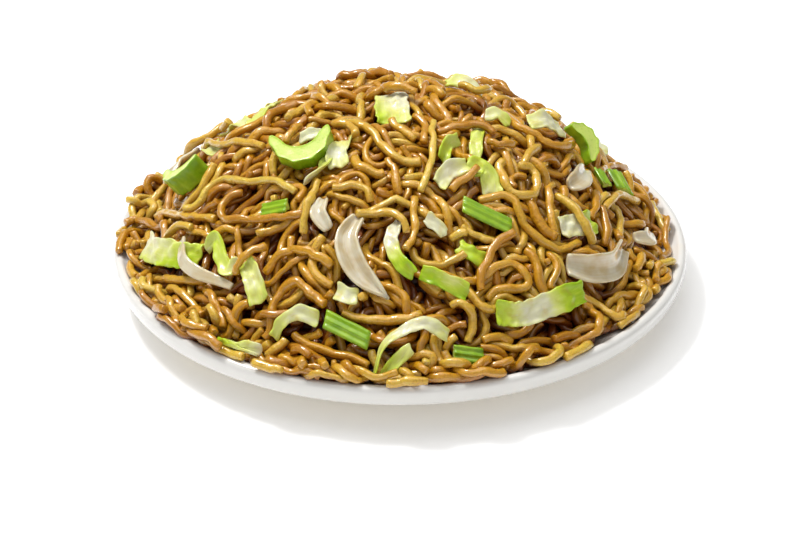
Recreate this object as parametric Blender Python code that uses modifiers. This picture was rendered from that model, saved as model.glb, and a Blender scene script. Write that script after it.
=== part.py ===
"""A round white plate heaped with stir-fried noodles, celery, cabbage and onion.

Units are metres and +Z is up. The origin is the middle of the plate's foot, on the table.
-Y is the side that the diner faces, and +X is on the diner's right.
"""

import math
import random

import bmesh
import bpy
from mathutils import Matrix, Vector, noise
from mathutils.bvhtree import BVHTree

MM = 0.001

PLATE_RADIUS = 115 * MM
PLATE_HEIGHT = 21 * MM
FLOOR_RADIUS = 68 * MM
FLOOR_TOP = 6.5 * MM
LIP_THICKNESS = 4.4 * MM
LIP_DEPTH = 5.6 * MM
LIP_RISE = 1.5 * MM
LIP_TUCK = (5 * MM, 3 * MM)
UNDERSIDE_BEND = (16 * MM, 2.6 * MM)
FOOT_RADIUS = 66 * MM
FOOT_WIDTH = 4 * MM
FOOT_HEIGHT = 2 * MM
SLOPE_CURVE = 1.55
PLATE_STEPS = 48

HEAP_RADIUS = 109 * MM
HEAP_EDGE_HEIGHT = 16.5 * MM
HEAP_RISE = 59 * MM
HEAP_CURVE = 2.3
HEAP_COLUMNS = 40
HEAP_RINGS = 9
UNDERSIDE_RINGS = 3
LUMP_HEIGHT = 3.2 * MM
LUMP_SPACING = 26 * MM
BLUNT_EDGE = 1.5 * MM
EDGE_WAVER = 1.2 * MM
EDGE_SHORT = 3.5 * MM
EDGE_SHORT_AT = math.radians(-32)

GAP = 0.35 * MM
CHORD_ROOM = 0.45 * MM
REST = 0.45 * MM
NOODLE_RADIUS = 1.8 * MM
NOODLE_COUNT = 34
NOODLE_LENGTHS = (42 * MM, 74 * MM)
NOODLE_STEP = 6 * MM
NOODLE_WAVES = (34 * MM, 58 * MM)
NOODLE_SWING = (0.5, 1.15)
NOODLE_SEAT = 0.3
SHORTEST_NOODLE = 24 * MM
MITRE = 1.15
NOODLE_SEED = 11
START_REACH = 0.93
START_SPREAD = 5 * MM
TRIES = 60
TURNS_TRIED = (0, 0.35, -0.35, 0.7, -0.7, 1.0, -1.0)
FLATTEST_EDGE = math.radians(2)
CREASE = math.radians(40)

LEAF_THICKNESS = 1.3 * MM
ONION_THICKNESS = 2.1 * MM
RIBBON_SEGMENT = 4.6 * MM


def clear_scene():
    for thing in list(bpy.data.objects):
        bpy.data.objects.remove(thing)


def new_collection(name):
    collection = bpy.data.collections.new(name)
    bpy.context.scene.collection.children.link(collection)
    return collection


def new_material(name, colour, roughness):
    material = bpy.data.materials.new(name)
    material.use_nodes = True
    shader = material.node_tree.nodes["Principled BSDF"]
    shader.inputs["Base Color"].default_value = (*colour, 1.0)
    shader.inputs["Roughness"].default_value = roughness
    shader.inputs["Metallic"].default_value = 0.0
    return material


def world_mesh(thing):
    """A mesh copy of an object as the viewport shows it, in world coordinates."""
    bpy.context.view_layer.update()
    graph = bpy.context.evaluated_depsgraph_get()
    mesh = bpy.data.meshes.new_from_object(thing.evaluated_get(graph))
    mesh.transform(thing.matrix_world)
    return mesh


def surface_tree(things):
    """One search tree over the surfaces of several objects."""
    points, faces = [], []
    for thing in things:
        mesh = world_mesh(thing)
        mesh.calc_loop_triangles()
        start = len(points)
        points.extend(vertex.co.copy() for vertex in mesh.vertices)
        faces.extend([start + index for index in face.vertices] for face in mesh.loop_triangles)
        bpy.data.meshes.remove(mesh)
    return BVHTree.FromPolygons(points, faces)


def plate_inside(radius):
    """Height of the plate's upper surface: a flat floor, then a slope that steepens to the lip."""
    lip_start = PLATE_RADIUS - LIP_THICKNESS
    share = max(0.0, radius - FLOOR_RADIUS) / (lip_start - FLOOR_RADIUS)
    return FLOOR_TOP + (PLATE_HEIGHT - LIP_RISE - FLOOR_TOP) * share**SLOPE_CURVE


def plate_profile():
    """The plate's half section, from the middle of its floor, over the lip and in to the foot."""
    lip_start = PLATE_RADIUS - LIP_THICKNESS
    slope = [FLOOR_RADIUS + (lip_start - FLOOR_RADIUS) * share for share in (0, 0.3, 0.55, 0.8, 1)]
    profile = [(0, FLOOR_TOP)] + [(radius, plate_inside(radius)) for radius in slope]
    roundness = LIP_THICKNESS / 2
    for angle in (130, 90, 45, 0):
        turn = math.radians(angle)
        profile.append(
            (
                PLATE_RADIUS - roundness + roundness * math.cos(turn),
                PLATE_HEIGHT - roundness + roundness * math.sin(turn),
            )
        )
    inner_foot = FOOT_RADIUS - FOOT_WIDTH
    profile += [
        (PLATE_RADIUS - 0.4 * MM, PLATE_HEIGHT - LIP_DEPTH),
        (PLATE_RADIUS - LIP_TUCK[0], PLATE_HEIGHT - LIP_DEPTH - LIP_TUCK[1]),
        (FOOT_RADIUS + UNDERSIDE_BEND[0], FOOT_HEIGHT + UNDERSIDE_BEND[1]),
        (FOOT_RADIUS, FOOT_HEIGHT),
        (FOOT_RADIUS, 0),
        (inner_foot, 0),
        (inner_foot, FOOT_HEIGHT),
        (0, FOOT_HEIGHT),
    ]
    return profile


def turned_object(name, profile, steps, collection):
    """A solid of revolution about Z, by a Screw modifier on a half section."""
    mesh = bpy.data.meshes.new(name)
    mesh.from_pydata(
        [(radius, 0, height) for radius, height in profile],
        [(index, index + 1) for index in range(len(profile) - 1)],
        [],
    )
    thing = bpy.data.objects.new(name, mesh)
    collection.objects.link(thing)
    screw = thing.modifiers.new("turn", "SCREW")
    screw.steps = steps
    screw.render_steps = steps
    screw.use_merge_vertices = True
    screw.merge_threshold = 0.00005
    screw.use_smooth_shade = True
    return thing


def heap_edge(azimuth):
    """Radius of the heap's blunt foot, which stops a little short on the diner's front right."""
    waver = EDGE_WAVER * (math.sin(3 * azimuth + 0.6) + 0.6 * math.sin(7 * azimuth))
    short = EDGE_SHORT * max(0.0, math.cos(azimuth - EDGE_SHORT_AT)) ** 6
    return HEAP_RADIUS - 2 * EDGE_WAVER + waver - short


def heap_top(x, y):
    """Height of the heap's core: a dome with lumps that fade out at its foot."""
    share = min(1.0, math.hypot(x, y) / HEAP_RADIUS)
    lumps = noise.noise(Vector((x, y, 0)) / LUMP_SPACING + Vector((3.7, 1.2, 0.4)))
    dome = HEAP_RISE * (1 - share**HEAP_CURVE)
    return HEAP_EDGE_HEIGHT + dome + LUMP_HEIGHT * lumps * (1 - share**4)


def heap_normal(x, y):
    """The direction straight out of the heap above (x, y)."""
    step = 2 * MM
    across = heap_top(x + step, y) - heap_top(x - step, y)
    along = heap_top(x, y + step) - heap_top(x, y - step)
    return Vector((-across, -along, 2 * step)).normalized()


def make_heap_core(collection):
    """The bare core: a turned drum of unit size, whose two sides take the heap's and the plate's form."""
    top = [(math.sin(math.pi / 2 * ring / HEAP_RINGS), 1) for ring in range(HEAP_RINGS + 1)]
    under = [(1 - ring / UNDERSIDE_RINGS, -1) for ring in range(UNDERSIDE_RINGS + 1)]
    drum = turned_object("drum", top + under, HEAP_COLUMNS, collection)
    mesh = world_mesh(drum)
    bpy.data.objects.remove(drum)
    for vertex in mesh.vertices:
        x, y, side = vertex.co
        azimuth = math.atan2(y, x)
        radius = math.hypot(x, y) * heap_edge(azimuth)
        x, y = radius * math.cos(azimuth), radius * math.sin(azimuth)
        floor = plate_inside(radius) + GAP + CHORD_ROOM
        height = max(heap_top(x, y), floor + BLUNT_EDGE) if side > 0 else floor
        vertex.co = (x, y, height)
    mesh.name = "noodle_heap"
    core = bpy.data.objects.new("noodle_heap", mesh)
    collection.objects.link(core)
    return core


def ground_point(ground, x, y):
    """The bare surface straight below (x, y), on the heap or on the plate."""
    hit = ground.ray_cast(Vector((x, y, 0.2)), Vector((0, 0, -1)))[0]
    return hit if hit else Vector((x, y, heap_top(x, y)))


def smooth_route(points, spacing):
    """Evenly spaced points along a smooth curve through a few (x, y) points."""
    flat = [Vector((x, y, 0)) for x, y in points]
    ends = [2 * flat[0] - flat[1]] + flat + [2 * flat[-1] - flat[-2]]
    fine = []
    for before, start, end, after in zip(ends, ends[1:], ends[2:], ends[3:]):
        for step in range(24):
            t = step / 24
            fine.append(
                0.5
                * (
                    2 * start
                    + (end - before) * t
                    + (2 * before - 5 * start + 4 * end - after) * t**2
                    + (3 * start - before - 3 * end + after) * t**3
                )
            )
    fine.append(flat[-1])
    lengths = [0.0]
    for first, second in zip(fine, fine[1:]):
        lengths.append(lengths[-1] + (second - first).length)
    count = max(3, round(lengths[-1] / spacing))
    route, place = [], 0
    for index in range(count + 1):
        wanted = lengths[-1] * index / count
        while place < len(fine) - 2 and lengths[place + 1] < wanted:
            place += 1
        share = (wanted - lengths[place]) / max(lengths[place + 1] - lengths[place], 1e-9)
        route.append(fine[place].lerp(fine[place + 1], min(1.0, share)))
    return route


def ribbon(
    name,
    ground,
    route,
    width,
    thickness,
    material,
    collection,
    lift=2.0,
    waves=1.5,
    phase=0.0,
    cup=0.0,
    taper=0.0,
    tilt=0.0,
):
    """A strip of leaf or a petal of onion that follows the heap.

    Sizes are in millimetres. It rises by lift in so many waves along its length, its sides rise by
    cup, one side rises by tilt, and taper narrows its ends, from 0 for square to 1 for pointed.
    """
    path = smooth_route([(x * MM, y * MM) for x, y in route], RIBBON_SEGMENT)
    last = len(path) - 1
    mesh = bmesh.new()
    bmesh.ops.create_grid(mesh, x_segments=last, y_segments=2, size=0.5)
    middle = ground_point(ground, *path[last // 2].xy)
    for vertex in mesh.verts:
        along = (vertex.co.x + 0.5) * last
        across = vertex.co.y * 2
        index = min(round(along), last)
        back, ahead = path[max(0, index - 1)], path[min(last, index + 1)]
        heading = (ahead - back).normalized()
        side = Vector((-heading.y, heading.x, 0))
        share = index / last
        narrowing = 1 - taper * abs(2 * share - 1) ** 2.2
        reach = width / 2 * MM * narrowing * (1 + 0.12 * math.sin(5 * share + 3 * phase))
        flat = path[index] + side * across * reach
        base = ground_point(ground, flat.x, flat.y)
        rise = lift * (0.5 - 0.5 * math.cos(math.tau * (waves * share + phase)))
        rise += cup * across**2 * narrowing + tilt * (0.5 + 0.5 * across)
        vertex.co = base + heap_normal(flat.x, flat.y) * (GAP + REST + rise * MM) - middle
    bmesh.ops.triangulate(mesh, faces=mesh.faces)
    bmesh.ops.recalc_face_normals(mesh, faces=mesh.faces)
    if sum(face.normal.z for face in mesh.faces) < 0:
        bmesh.ops.reverse_faces(mesh, faces=mesh.faces)
    data = bpy.data.meshes.new(name)
    mesh.to_mesh(data)
    mesh.free()
    data.materials.append(material)
    piece = bpy.data.objects.new(name, data)
    piece.location = middle
    collection.objects.link(piece)
    wall = piece.modifiers.new("leaf", "SOLIDIFY")
    wall.thickness = thickness
    wall.offset = 1
    return piece


def celery_outline(radius, arc, wall, ribs):
    """The half-moon section of a stalk: ribs outside, a smooth hollow inside, thin at its horns."""
    outline = []
    for index in range(2 * ribs + 1):
        share = index / (2 * ribs)
        angle = math.radians(-90 + arc * (share - 0.5))
        reach = radius if index % 2 else radius * 0.94
        outline.append((reach * math.cos(angle), reach * math.sin(angle)))
    inner = max(4, ribs)
    for index in range(inner, -1, -1):
        share = index / inner
        angle = math.radians(-90 + (arc - 14) * (share - 0.5))
        depth = wall * (1 - 0.45 * abs(2 * share - 1) ** 2)
        outline.append(((radius - depth) * math.cos(angle), (radius - depth) * math.sin(angle)))
    return outline


def lowest_clearance(points, ground, up):
    """How far the nearest of these points is above the ground, looking down along up."""
    start = 0.1
    found = []
    for point in points:
        hit = ground.ray_cast(point + up * start, -up)
        if hit[0]:
            found.append(hit[3] - start)
    return min(found)


def sample_points(mesh):
    """Corners, edge middles and face middles of a mesh."""
    mesh.calc_loop_triangles()
    points = []
    for face in mesh.loop_triangles:
        a, b, c = (mesh.vertices[index].co for index in face.vertices)
        points += [a.copy(), (a + b) / 2, (b + c) / 2, (a + c) / 2, (a + b + c) / 3]
    return points


def celery(
    name,
    ground,
    place,
    material,
    collection,
    radius=11.0,
    arc=200.0,
    wall=6.0,
    length=6.0,
    heading=0.0,
    lean=0.0,
    roll=0.0,
    skin_up=False,
    shear=0.0,
    ribs=6,
):
    """A slice of celery stalk, resting on the heap at place.

    Sizes are in millimetres and angles in degrees. The slice lies on its cut face, or with its skin
    up where skin_up is set. Heading turns it on the heap, lean tips it to the diner, roll tips it
    sideways, and shear slants its two cuts.
    """
    curve = bpy.data.curves.new(name, "CURVE")
    curve.dimensions = "2D"
    curve.fill_mode = "BOTH"
    curve.extrude = length / 2 * MM
    outline = celery_outline(radius, arc, wall, ribs)
    centre = sum(y for _, y in outline) / len(outline)
    spline = curve.splines.new("POLY")
    spline.points.add(len(outline) - 1)
    for point, (x, y) in zip(spline.points, outline):
        point.co = (x * MM, (y - centre) * MM, 0, 1)
    spline.use_cyclic_u = True
    flat = bpy.data.objects.new(name, curve)
    collection.objects.link(flat)
    mesh = world_mesh(flat)
    bpy.data.objects.remove(flat)
    form = bmesh.new()
    form.from_mesh(mesh)
    bmesh.ops.remove_doubles(form, verts=form.verts, dist=0.02 * MM)
    bmesh.ops.recalc_face_normals(form, faces=form.faces)
    for vertex in form.verts:
        vertex.co.x += shear * vertex.co.z
    form.to_mesh(mesh)
    form.free()
    mesh.name = name
    mesh.materials.clear()
    mesh.materials.append(material)
    piece = bpy.data.objects.new(name, mesh)
    collection.objects.link(piece)

    x, y = place[0] * MM, place[1] * MM
    up = heap_normal(x, y)
    east = Vector((1, 0, 0))
    east = (east - up * east.dot(up)).normalized()
    surface = Matrix((east, up.cross(east), up)).transposed().to_4x4()
    turn = Matrix.Rotation(math.radians(heading), 4, "Z")
    tip = Matrix.Rotation(math.radians(lean), 4, "X") @ Matrix.Rotation(math.radians(roll), 4, "Y")
    lay = Matrix.Rotation(math.radians(-90), 4, "X") if skin_up else Matrix.Identity(4)
    piece.matrix_world = Matrix.Translation(ground_point(ground, x, y)) @ surface @ tip @ turn @ lay
    bpy.context.view_layer.update()
    placed = world_mesh(piece)
    clearance = lowest_clearance(sample_points(placed), ground, up)
    bpy.data.meshes.remove(placed)
    piece.location += up * (GAP + REST - clearance)
    return piece


def make_celery(ground, material, collection):
    """Every slice of celery: its place on the heap and how it lies."""
    slab = dict(radius=9, arc=56, wall=3.6, skin_up=True, ribs=3)
    pieces = [
        ("celery_crescent_upper", (-36, -27), dict(radius=12.5, wall=7, length=7.5, heading=4, lean=20)),
        ("celery_ribbed_left", (-82, -4), dict(radius=10.5, arc=185, length=9, heading=-22, lean=-4)),
        ("celery_slab_centre", (32, -55), slab | dict(length=19, heading=86, shear=0.35)),
        ("celery_slab_front", (-19, -93), slab | dict(length=18, heading=78, shear=0.3)),
        ("celery_bit_front", (24.5, -98.5), slab | dict(length=11, heading=96, shear=0.2, arc=48)),
        ("celery_round_right", (69, 5), dict(radius=9, arc=200, wall=7.4, length=5, heading=150,
                                            lean=34, roll=10)),
        ("celery_bit_right", (78, -5), slab | dict(length=8, heading=30, arc=50)),
        ("celery_right", (87, 7), slab | dict(length=11, heading=25, arc=84, ribs=4)),
        ("celery_dark_left", (-46, -46), slab | dict(length=11, heading=84, arc=46)),
        ("celery_crescent_back", (-32, 84), dict(radius=11, length=6.5, heading=190, lean=-8)),
        ("celery_ribbed_back", (38, 82), dict(radius=10, arc=170, length=8, heading=140, lean=-6)),
        ("celery_slab_back", (-72, 62), slab | dict(length=17, heading=20, shear=0.3)),
        ("celery_bit_back", (20, 97), slab | dict(length=13, heading=75, shear=-0.3)),
    ]
    return [
        celery(name, ground, place, material, collection, **form) for name, place, form in pieces
    ]


def make_cabbage(ground, material, collection):
    """Every shred of cabbage: the points that it passes over, its width and its folds."""
    shreds = [
        ("cabbage_top", [(-3, 9), (-3, -2), (-2, -13)], 13, dict(lift=1.8, waves=1, cup=1.2)),
        ("cabbage_bow_right", [(-15, -21), (-18, -28), (-16, -35)], 8, dict(lift=1.8, waves=1)),
        ("cabbage_bow_left", [(-23, -34), (-26, -38), (-30, -44)], 5.6, dict(lift=1.4, tilt=2)),
        ("cabbage_behind_celery", [(-35, -14), (-30, -13), (-25, -13)], 4.8, dict(lift=1.5, tilt=2)),
        ("cabbage_left_upper", [(-74, 20), (-73, 11), (-70, 3)], 6, dict(lift=2, waves=1, tilt=1)),
        ("cabbage_left_top", [(-70, 30), (-63, 24), (-59, 17)], 5, dict(lift=2.4, waves=1)),
        ("cabbage_left_ridge", [(-57, 12), (-53, 20), (-48, 27)], 5, dict(lift=2, tilt=2)),
        ("cabbage_peak", [(18, 22), (25, 23), (32, 20)], 6, dict(lift=3, waves=1, tilt=1.5)),
        ("cabbage_right_ridge", [(31, 2), (38, 3), (45, 0)], 5.4, dict(lift=2.2, waves=1.5)),
        ("cabbage_right_white", [(47, 6), (55, 12), (60, 20)], 8.5, dict(lift=3, waves=2, tilt=1)),
        ("cabbage_stick", [(30, -11), (29, -21), (28, -31)], 4.6, dict(lift=1.2, waves=1)),
        ("cabbage_curl", [(16, -34), (18, -27), (23, -23)], 5, dict(lift=2.6, waves=1)),
        ("cabbage_arch_left", [(14, -46), (18, -41), (25, -38)], 6, dict(lift=2, phase=0.5, cup=0.6)),
        ("cabbage_arch_right", [(30, -37), (36, -39), (38, -45)], 7, dict(lift=2.2, waves=1, cup=0.8)),
        ("cabbage_bit_centre", [(9, -58), (12, -60), (17, -63)], 5.4, dict(lift=1.6, tilt=1.6)),
        ("cabbage_right", [(61, -48), (67, -43), (74, -37)], 7.5, dict(lift=1.8, waves=1.5, tilt=1)),
        ("cabbage_ribbon_left", [(-96, -20), (-90, -31), (-80, -39), (-72, -43)], 8,
         dict(lift=0.8, waves=1.5)),
        ("cabbage_fold_left", [(-69, -49), (-65, -44), (-61, -49), (-59, -56)], 5.4,
         dict(lift=3.4, waves=1)),
        ("cabbage_drop_left", [(-53, -60), (-51, -67), (-49, -74)], 6.6, dict(lift=2, waves=1, tilt=1)),
        ("cabbage_hook", [(0, -61), (-3, -69), (0, -76), (5, -80)], 4.8, dict(lift=1.8, tilt=1.4)),
        ("cabbage_strip_centre", [(10, -79), (16, -79), (25, -80)], 5, dict(lift=2, waves=2, tilt=1)),
        ("cabbage_bit_low", [(-23, -82), (-19, -84), (-15, -85)], 4.6, dict(lift=1.6, waves=1)),
        ("cabbage_curved_low", [(-43, -89), (-40, -85), (-35, -83), (-29, -84)], 4,
         dict(lift=2, waves=1)),
        ("cabbage_rim", [(-64, -78), (-56, -83), (-47, -87)], 6.2, dict(lift=1.4, waves=1.5, tilt=1)),
        ("cabbage_fold_upper", [(17, -90), (8, -89), (-1, -91), (-6, -97), (-8, -102)], 4.2,
         dict(lift=2.4, waves=1.5, tilt=1)),
        ("cabbage_fold_lower", [(-2, -103), (2, -99), (6, -95)], 4.4, dict(lift=2, tilt=1.2)),
        ("cabbage_strip_right", [(35, -84), (44, -81), (55, -74), (66, -65)], 6.8,
         dict(lift=2, waves=1.5, tilt=1)),
        ("cabbage_deep", [(21, -68), (26, -70), (31, -71)], 6, dict(lift=1.4, waves=2, cup=0.8)),
        ("cabbage_back_left", [(-58, 62), (-52, 68), (-50, 78)], 7, dict(lift=2.6, waves=1.5)),
        ("cabbage_back_low", [(-14, 96), (-4, 99), (7, 98)], 6, dict(lift=2.2, waves=1.5)),
        ("cabbage_back_middle", [(0, 76), (9, 71), (17, 73), (22, 79)], 6, dict(lift=3, waves=1.5)),
        ("cabbage_back_right", [(70, 46), (77, 36), (80, 26)], 7, dict(lift=2.4, waves=1.5)),
    ]
    return [
        ribbon(name, ground, route, width, LEAF_THICKNESS, material, collection, **form)
        for name, route, width, form in shreds
    ]


def make_onion(ground, material, collection):
    """Every petal of onion: a cupped crescent, narrow at its ends."""
    petals = [
        ("onion_petal_left", [(-15, -59), (-20, -66), (-17, -75), (-7, -83)], 8.5, dict(cup=2, taper=0.7)),
        ("onion_arc_left", [(-78, -34), (-77, -45), (-71, -56), (-61, -65)], 4.2,
         dict(cup=0.8, taper=0.6, lift=5.6, waves=0.7, phase=0.38)),
        ("onion_petal_right", [(63, -59), (72, -58), (81, -50), (85, -36)], 8,
         dict(cup=2.2, taper=0.6, lift=1)),
        ("onion_curl_upper", [(-28, -50), (-29.5, -56), (-26, -62)], 4.6, dict(cup=1.6, taper=0.6)),
        ("onion_bit_right", [(90, -27), (95, -22), (97, -14)], 4.6, dict(cup=1, taper=0.5, lift=1)),
        ("onion_right_upper", [(64, -25), (68, -19), (71, -9)], 6, dict(cup=1.6, taper=0.6)),
        ("onion_left_edge", [(-93, 22), (-89, 31), (-82, 38)], 6.5, dict(cup=1.6, taper=0.6, lift=1)),
        ("onion_back_left", [(-15, 82), (-8, 85), (0, 86)], 7, dict(cup=2, taper=0.7)),
        ("onion_back_right", [(52, 90), (62, 81), (70, 70)], 7, dict(cup=2, taper=0.7, lift=1.4)),
    ]
    return [
        ribbon(
            name,
            ground,
            route,
            width,
            ONION_THICKNESS,
            material,
            collection,
            **{"lift": 1.2, "waves": 1.0, "phase": 0.5, **form},
        )
        for name, route, width, form in petals
    ]


def noodle_start(index):
    """The (x, y) where a noodle starts: a sunflower pattern, which spreads the starts evenly."""
    golden_turn = math.pi * (3 - math.sqrt(5))
    radius = HEAP_RADIUS * math.sqrt((index + 0.5) / NOODLE_COUNT) * START_REACH
    return Vector((radius * math.cos(index * golden_turn), radius * math.sin(index * golden_turn)))


def noodle_route(index, ground, toppings, draw):
    """Points down the middle of one noodle: it waves over the core and turns away from toppings."""
    here = noodle_start(index) + Vector((draw.gauss(0, START_SPREAD), draw.gauss(0, START_SPREAD)))
    base_heading = draw.uniform(0, math.tau)
    wave = draw.uniform(*NOODLE_WAVES)
    swing = draw.uniform(*NOODLE_SWING)
    start = draw.uniform(0, math.tau)
    steps = round(draw.uniform(*NOODLE_LENGTHS) / NOODLE_STEP)
    route = []
    turned = 0.0
    for step in range(steps):
        heading = base_heading + turned + swing * math.sin(start + math.tau * step * NOODLE_STEP / wave)
        for attempt in TURNS_TRIED:
            turn = heading + attempt
            ahead = here + Vector((math.cos(turn), math.sin(turn))) * NOODLE_STEP if route else here
            point = noodle_centre(ahead, ground)
            limit = PLATE_RADIUS - LIP_THICKNESS - 2 * NOODLE_RADIUS
            between = (point + route[-1]) / 2 if route else point
            if ahead.length < limit and is_clear([point, between], toppings):
                break
        else:
            break
        turned += attempt
        here = ahead
        route.append(point)
    return route


def is_clear(points, toppings):
    """Whether a noodle whose middle passes through these points stays off every topping."""
    room = NOODLE_RADIUS * MITRE + GAP
    return all(toppings.find_nearest(point)[3] > room for point in points)


def noodle_centre(flat, ground):
    """The middle of a noodle that is part sunk in the core above this (x, y)."""
    base = ground_point(ground, flat.x, flat.y)
    point = base + heap_normal(flat.x, flat.y) * NOODLE_RADIUS * 2 * NOODLE_SEAT
    lowest = plate_inside(flat.length + NOODLE_RADIUS) + NOODLE_RADIUS * MITRE + GAP + CHORD_ROOM
    point.z = max(point.z, lowest)
    return point


def raise_over(route, laid, toppings):
    """Lifts a noodle where it passes over the noodles already laid, and ends it before a topping."""
    reach = 2.2 * NOODLE_RADIUS
    raised = []
    for point in route:
        nearest = min(((point - other).length for other in laid), default=reach)
        lift = max(0.0, 1 - nearest / reach) * 1.9 * NOODLE_RADIUS
        higher = point + heap_normal(point.x, point.y) * lift
        between = (higher + raised[-1]) / 2 if raised else higher
        if not is_clear([higher, between], toppings):
            break
        raised.append(higher)
    return raised


def noodle_tube(name, route, collection):
    """A six-sided noodle with closed ends."""
    curve = bpy.data.curves.new(name, "CURVE")
    curve.dimensions = "3D"
    curve.bevel_depth = NOODLE_RADIUS
    curve.bevel_resolution = 1
    curve.use_fill_caps = True
    spline = curve.splines.new("POLY")
    spline.points.add(len(route) - 1)
    for point, place in zip(spline.points, route):
        point.co = (*place, 1)
    line = bpy.data.objects.new(name, curve)
    collection.objects.link(line)
    mesh = world_mesh(line)
    bpy.data.objects.remove(line)
    form = bmesh.new()
    form.from_mesh(mesh)
    bmesh.ops.remove_doubles(form, verts=form.verts, dist=0.02 * MM)
    bmesh.ops.recalc_face_normals(form, faces=form.faces)
    form.to_mesh(mesh)
    form.free()
    tube = bpy.data.objects.new(name, mesh)
    collection.objects.link(tube)
    return tube


def lay_noodles(ground, toppings, collection):
    """The noodles that show on the core, spread evenly and seeded."""
    draw = random.Random(NOODLE_SEED)
    laid = []
    for index in range(NOODLE_COUNT):
        tries = [noodle_route(index, ground, toppings, draw) for _ in range(TRIES)]
        route = raise_over(max(tries, key=len), laid, toppings)
        if (len(route) - 1) * NOODLE_STEP < SHORTEST_NOODLE:
            continue
        laid.extend(route)
        noodle_tube(f"noodle_{index}", route, collection)


def islands(mesh):
    """The separate bodies of a bmesh, as lists of vertices."""
    unseen = set(mesh.verts)
    found = []
    while unseen:
        body, edge = [], [unseen.pop()]
        while edge:
            vertex = edge.pop()
            body.append(vertex)
            for link in vertex.link_edges:
                other = link.other_vert(vertex)
                if other in unseen:
                    unseen.remove(other)
                    edge.append(other)
        found.append(body)
    return found


def fuse(core, collection):
    """Joins the noodles to the core, then fills sealed hollows and drops loose scraps."""
    join = core.modifiers.new("fuse noodles", "BOOLEAN")
    join.operation = "UNION"
    join.operand_type = "COLLECTION"
    join.collection = collection
    join.solver = "MANIFOLD"
    mesh = world_mesh(core)
    core.modifiers.remove(join)
    for tube in list(collection.objects):
        bpy.data.objects.remove(tube)
    bpy.data.collections.remove(collection)
    form = bmesh.new()
    form.from_mesh(mesh)
    bodies = sorted(islands(form), key=len)
    bmesh.ops.delete(form, geom=[v for body in bodies[:-1] for v in body], context="VERTS")
    bmesh.ops.dissolve_limit(form, verts=form.verts, edges=form.edges, angle_limit=FLATTEST_EDGE)
    bmesh.ops.triangulate(form, faces=form.faces)
    form.to_mesh(mesh)
    form.free()
    core.data = mesh


def make_plate(collection, material):
    plate = turned_object("plate", plate_profile(), PLATE_STEPS, collection)
    plate.data.materials.append(material)
    return plate


def main():
    clear_scene()
    dish = new_collection("noodle_plate")
    loose = new_collection("noodles_to_fuse")
    glaze = new_material("white_glaze", (0.86, 0.85, 0.83), 0.15)
    noodle = new_material("fried_noodle", (0.5, 0.27, 0.05), 0.35)
    stalk = new_material("celery_green", (0.35, 0.5, 0.03), 0.3)
    leaf = new_material("cabbage_pale", (0.68, 0.74, 0.35), 0.35)
    petal = new_material("onion_clear", (0.72, 0.62, 0.38), 0.25)

    plate = make_plate(dish, glaze)
    core = make_heap_core(dish)
    ground = surface_tree([plate, core])
    toppings = make_celery(ground, stalk, dish)
    toppings += make_cabbage(ground, leaf, dish)
    toppings += make_onion(ground, petal, dish)
    lay_noodles(ground, surface_tree(toppings), loose)
    fuse(core, loose)
    core.data.materials.clear()
    core.data.materials.append(noodle)
    core.data.shade_smooth()
    core.data.set_sharp_from_angle(angle=CREASE)

    centre = bpy.data.objects.new("dish", None)
    dish.objects.link(centre)
    for piece in [plate, core, *toppings]:
        piece.parent = centre


main()
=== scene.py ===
"""A round white plate heaped with stir-fried egg noodles, celery, cabbage and onion.

Lengths are in metres and +Z is up. The middle of the plate's foot is the origin, -Y is the side that
the diner faces, and +X is on the diner's right.
"""

from __future__ import annotations

import logging
import math
from dataclasses import dataclass, field, replace
from enum import Enum
from typing import Any

import bmesh
import bpy
import numpy as np
from mathutils import Matrix, Vector, noise
from mathutils.bvhtree import BVHTree

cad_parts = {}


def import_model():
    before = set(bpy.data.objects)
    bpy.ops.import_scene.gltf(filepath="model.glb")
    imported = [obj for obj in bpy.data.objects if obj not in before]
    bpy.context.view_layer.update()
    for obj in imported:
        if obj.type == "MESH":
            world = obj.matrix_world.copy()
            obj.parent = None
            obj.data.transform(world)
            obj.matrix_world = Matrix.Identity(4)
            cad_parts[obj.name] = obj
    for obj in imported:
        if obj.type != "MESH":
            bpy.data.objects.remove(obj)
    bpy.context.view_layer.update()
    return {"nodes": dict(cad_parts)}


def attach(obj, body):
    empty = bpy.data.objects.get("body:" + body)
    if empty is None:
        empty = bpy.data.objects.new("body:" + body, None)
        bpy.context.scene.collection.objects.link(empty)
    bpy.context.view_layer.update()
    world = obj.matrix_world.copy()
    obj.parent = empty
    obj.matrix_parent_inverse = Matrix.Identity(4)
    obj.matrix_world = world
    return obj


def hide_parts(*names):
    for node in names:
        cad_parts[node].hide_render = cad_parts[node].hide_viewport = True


LOG = logging.getLogger("noodle_plate")
MM = 0.001


class Slot(Enum):
    """Names for the pieces' finishes."""

    GLAZE = "white_glaze"
    NOODLE = "fried_noodle"
    CELERY = "celery_green"
    CABBAGE = "cabbage_pale"
    ONION = "onion_clear"


def linear(code: str) -> tuple[float, float, float, float]:
    """Turns an sRGB hex colour to linear light.

    Args:
        code: six hex digits.

    Returns:
        Red, green, blue and an alpha of 1.
    """
    parts = [int(code[place : place + 2], 16) / 255 for place in (0, 2, 4)]
    red, green, blue = (
        part / 12.92 if part <= 0.04045 else ((part + 0.055) / 1.055) ** 2.4 for part in parts
    )
    return red, green, blue, 1.0


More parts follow.
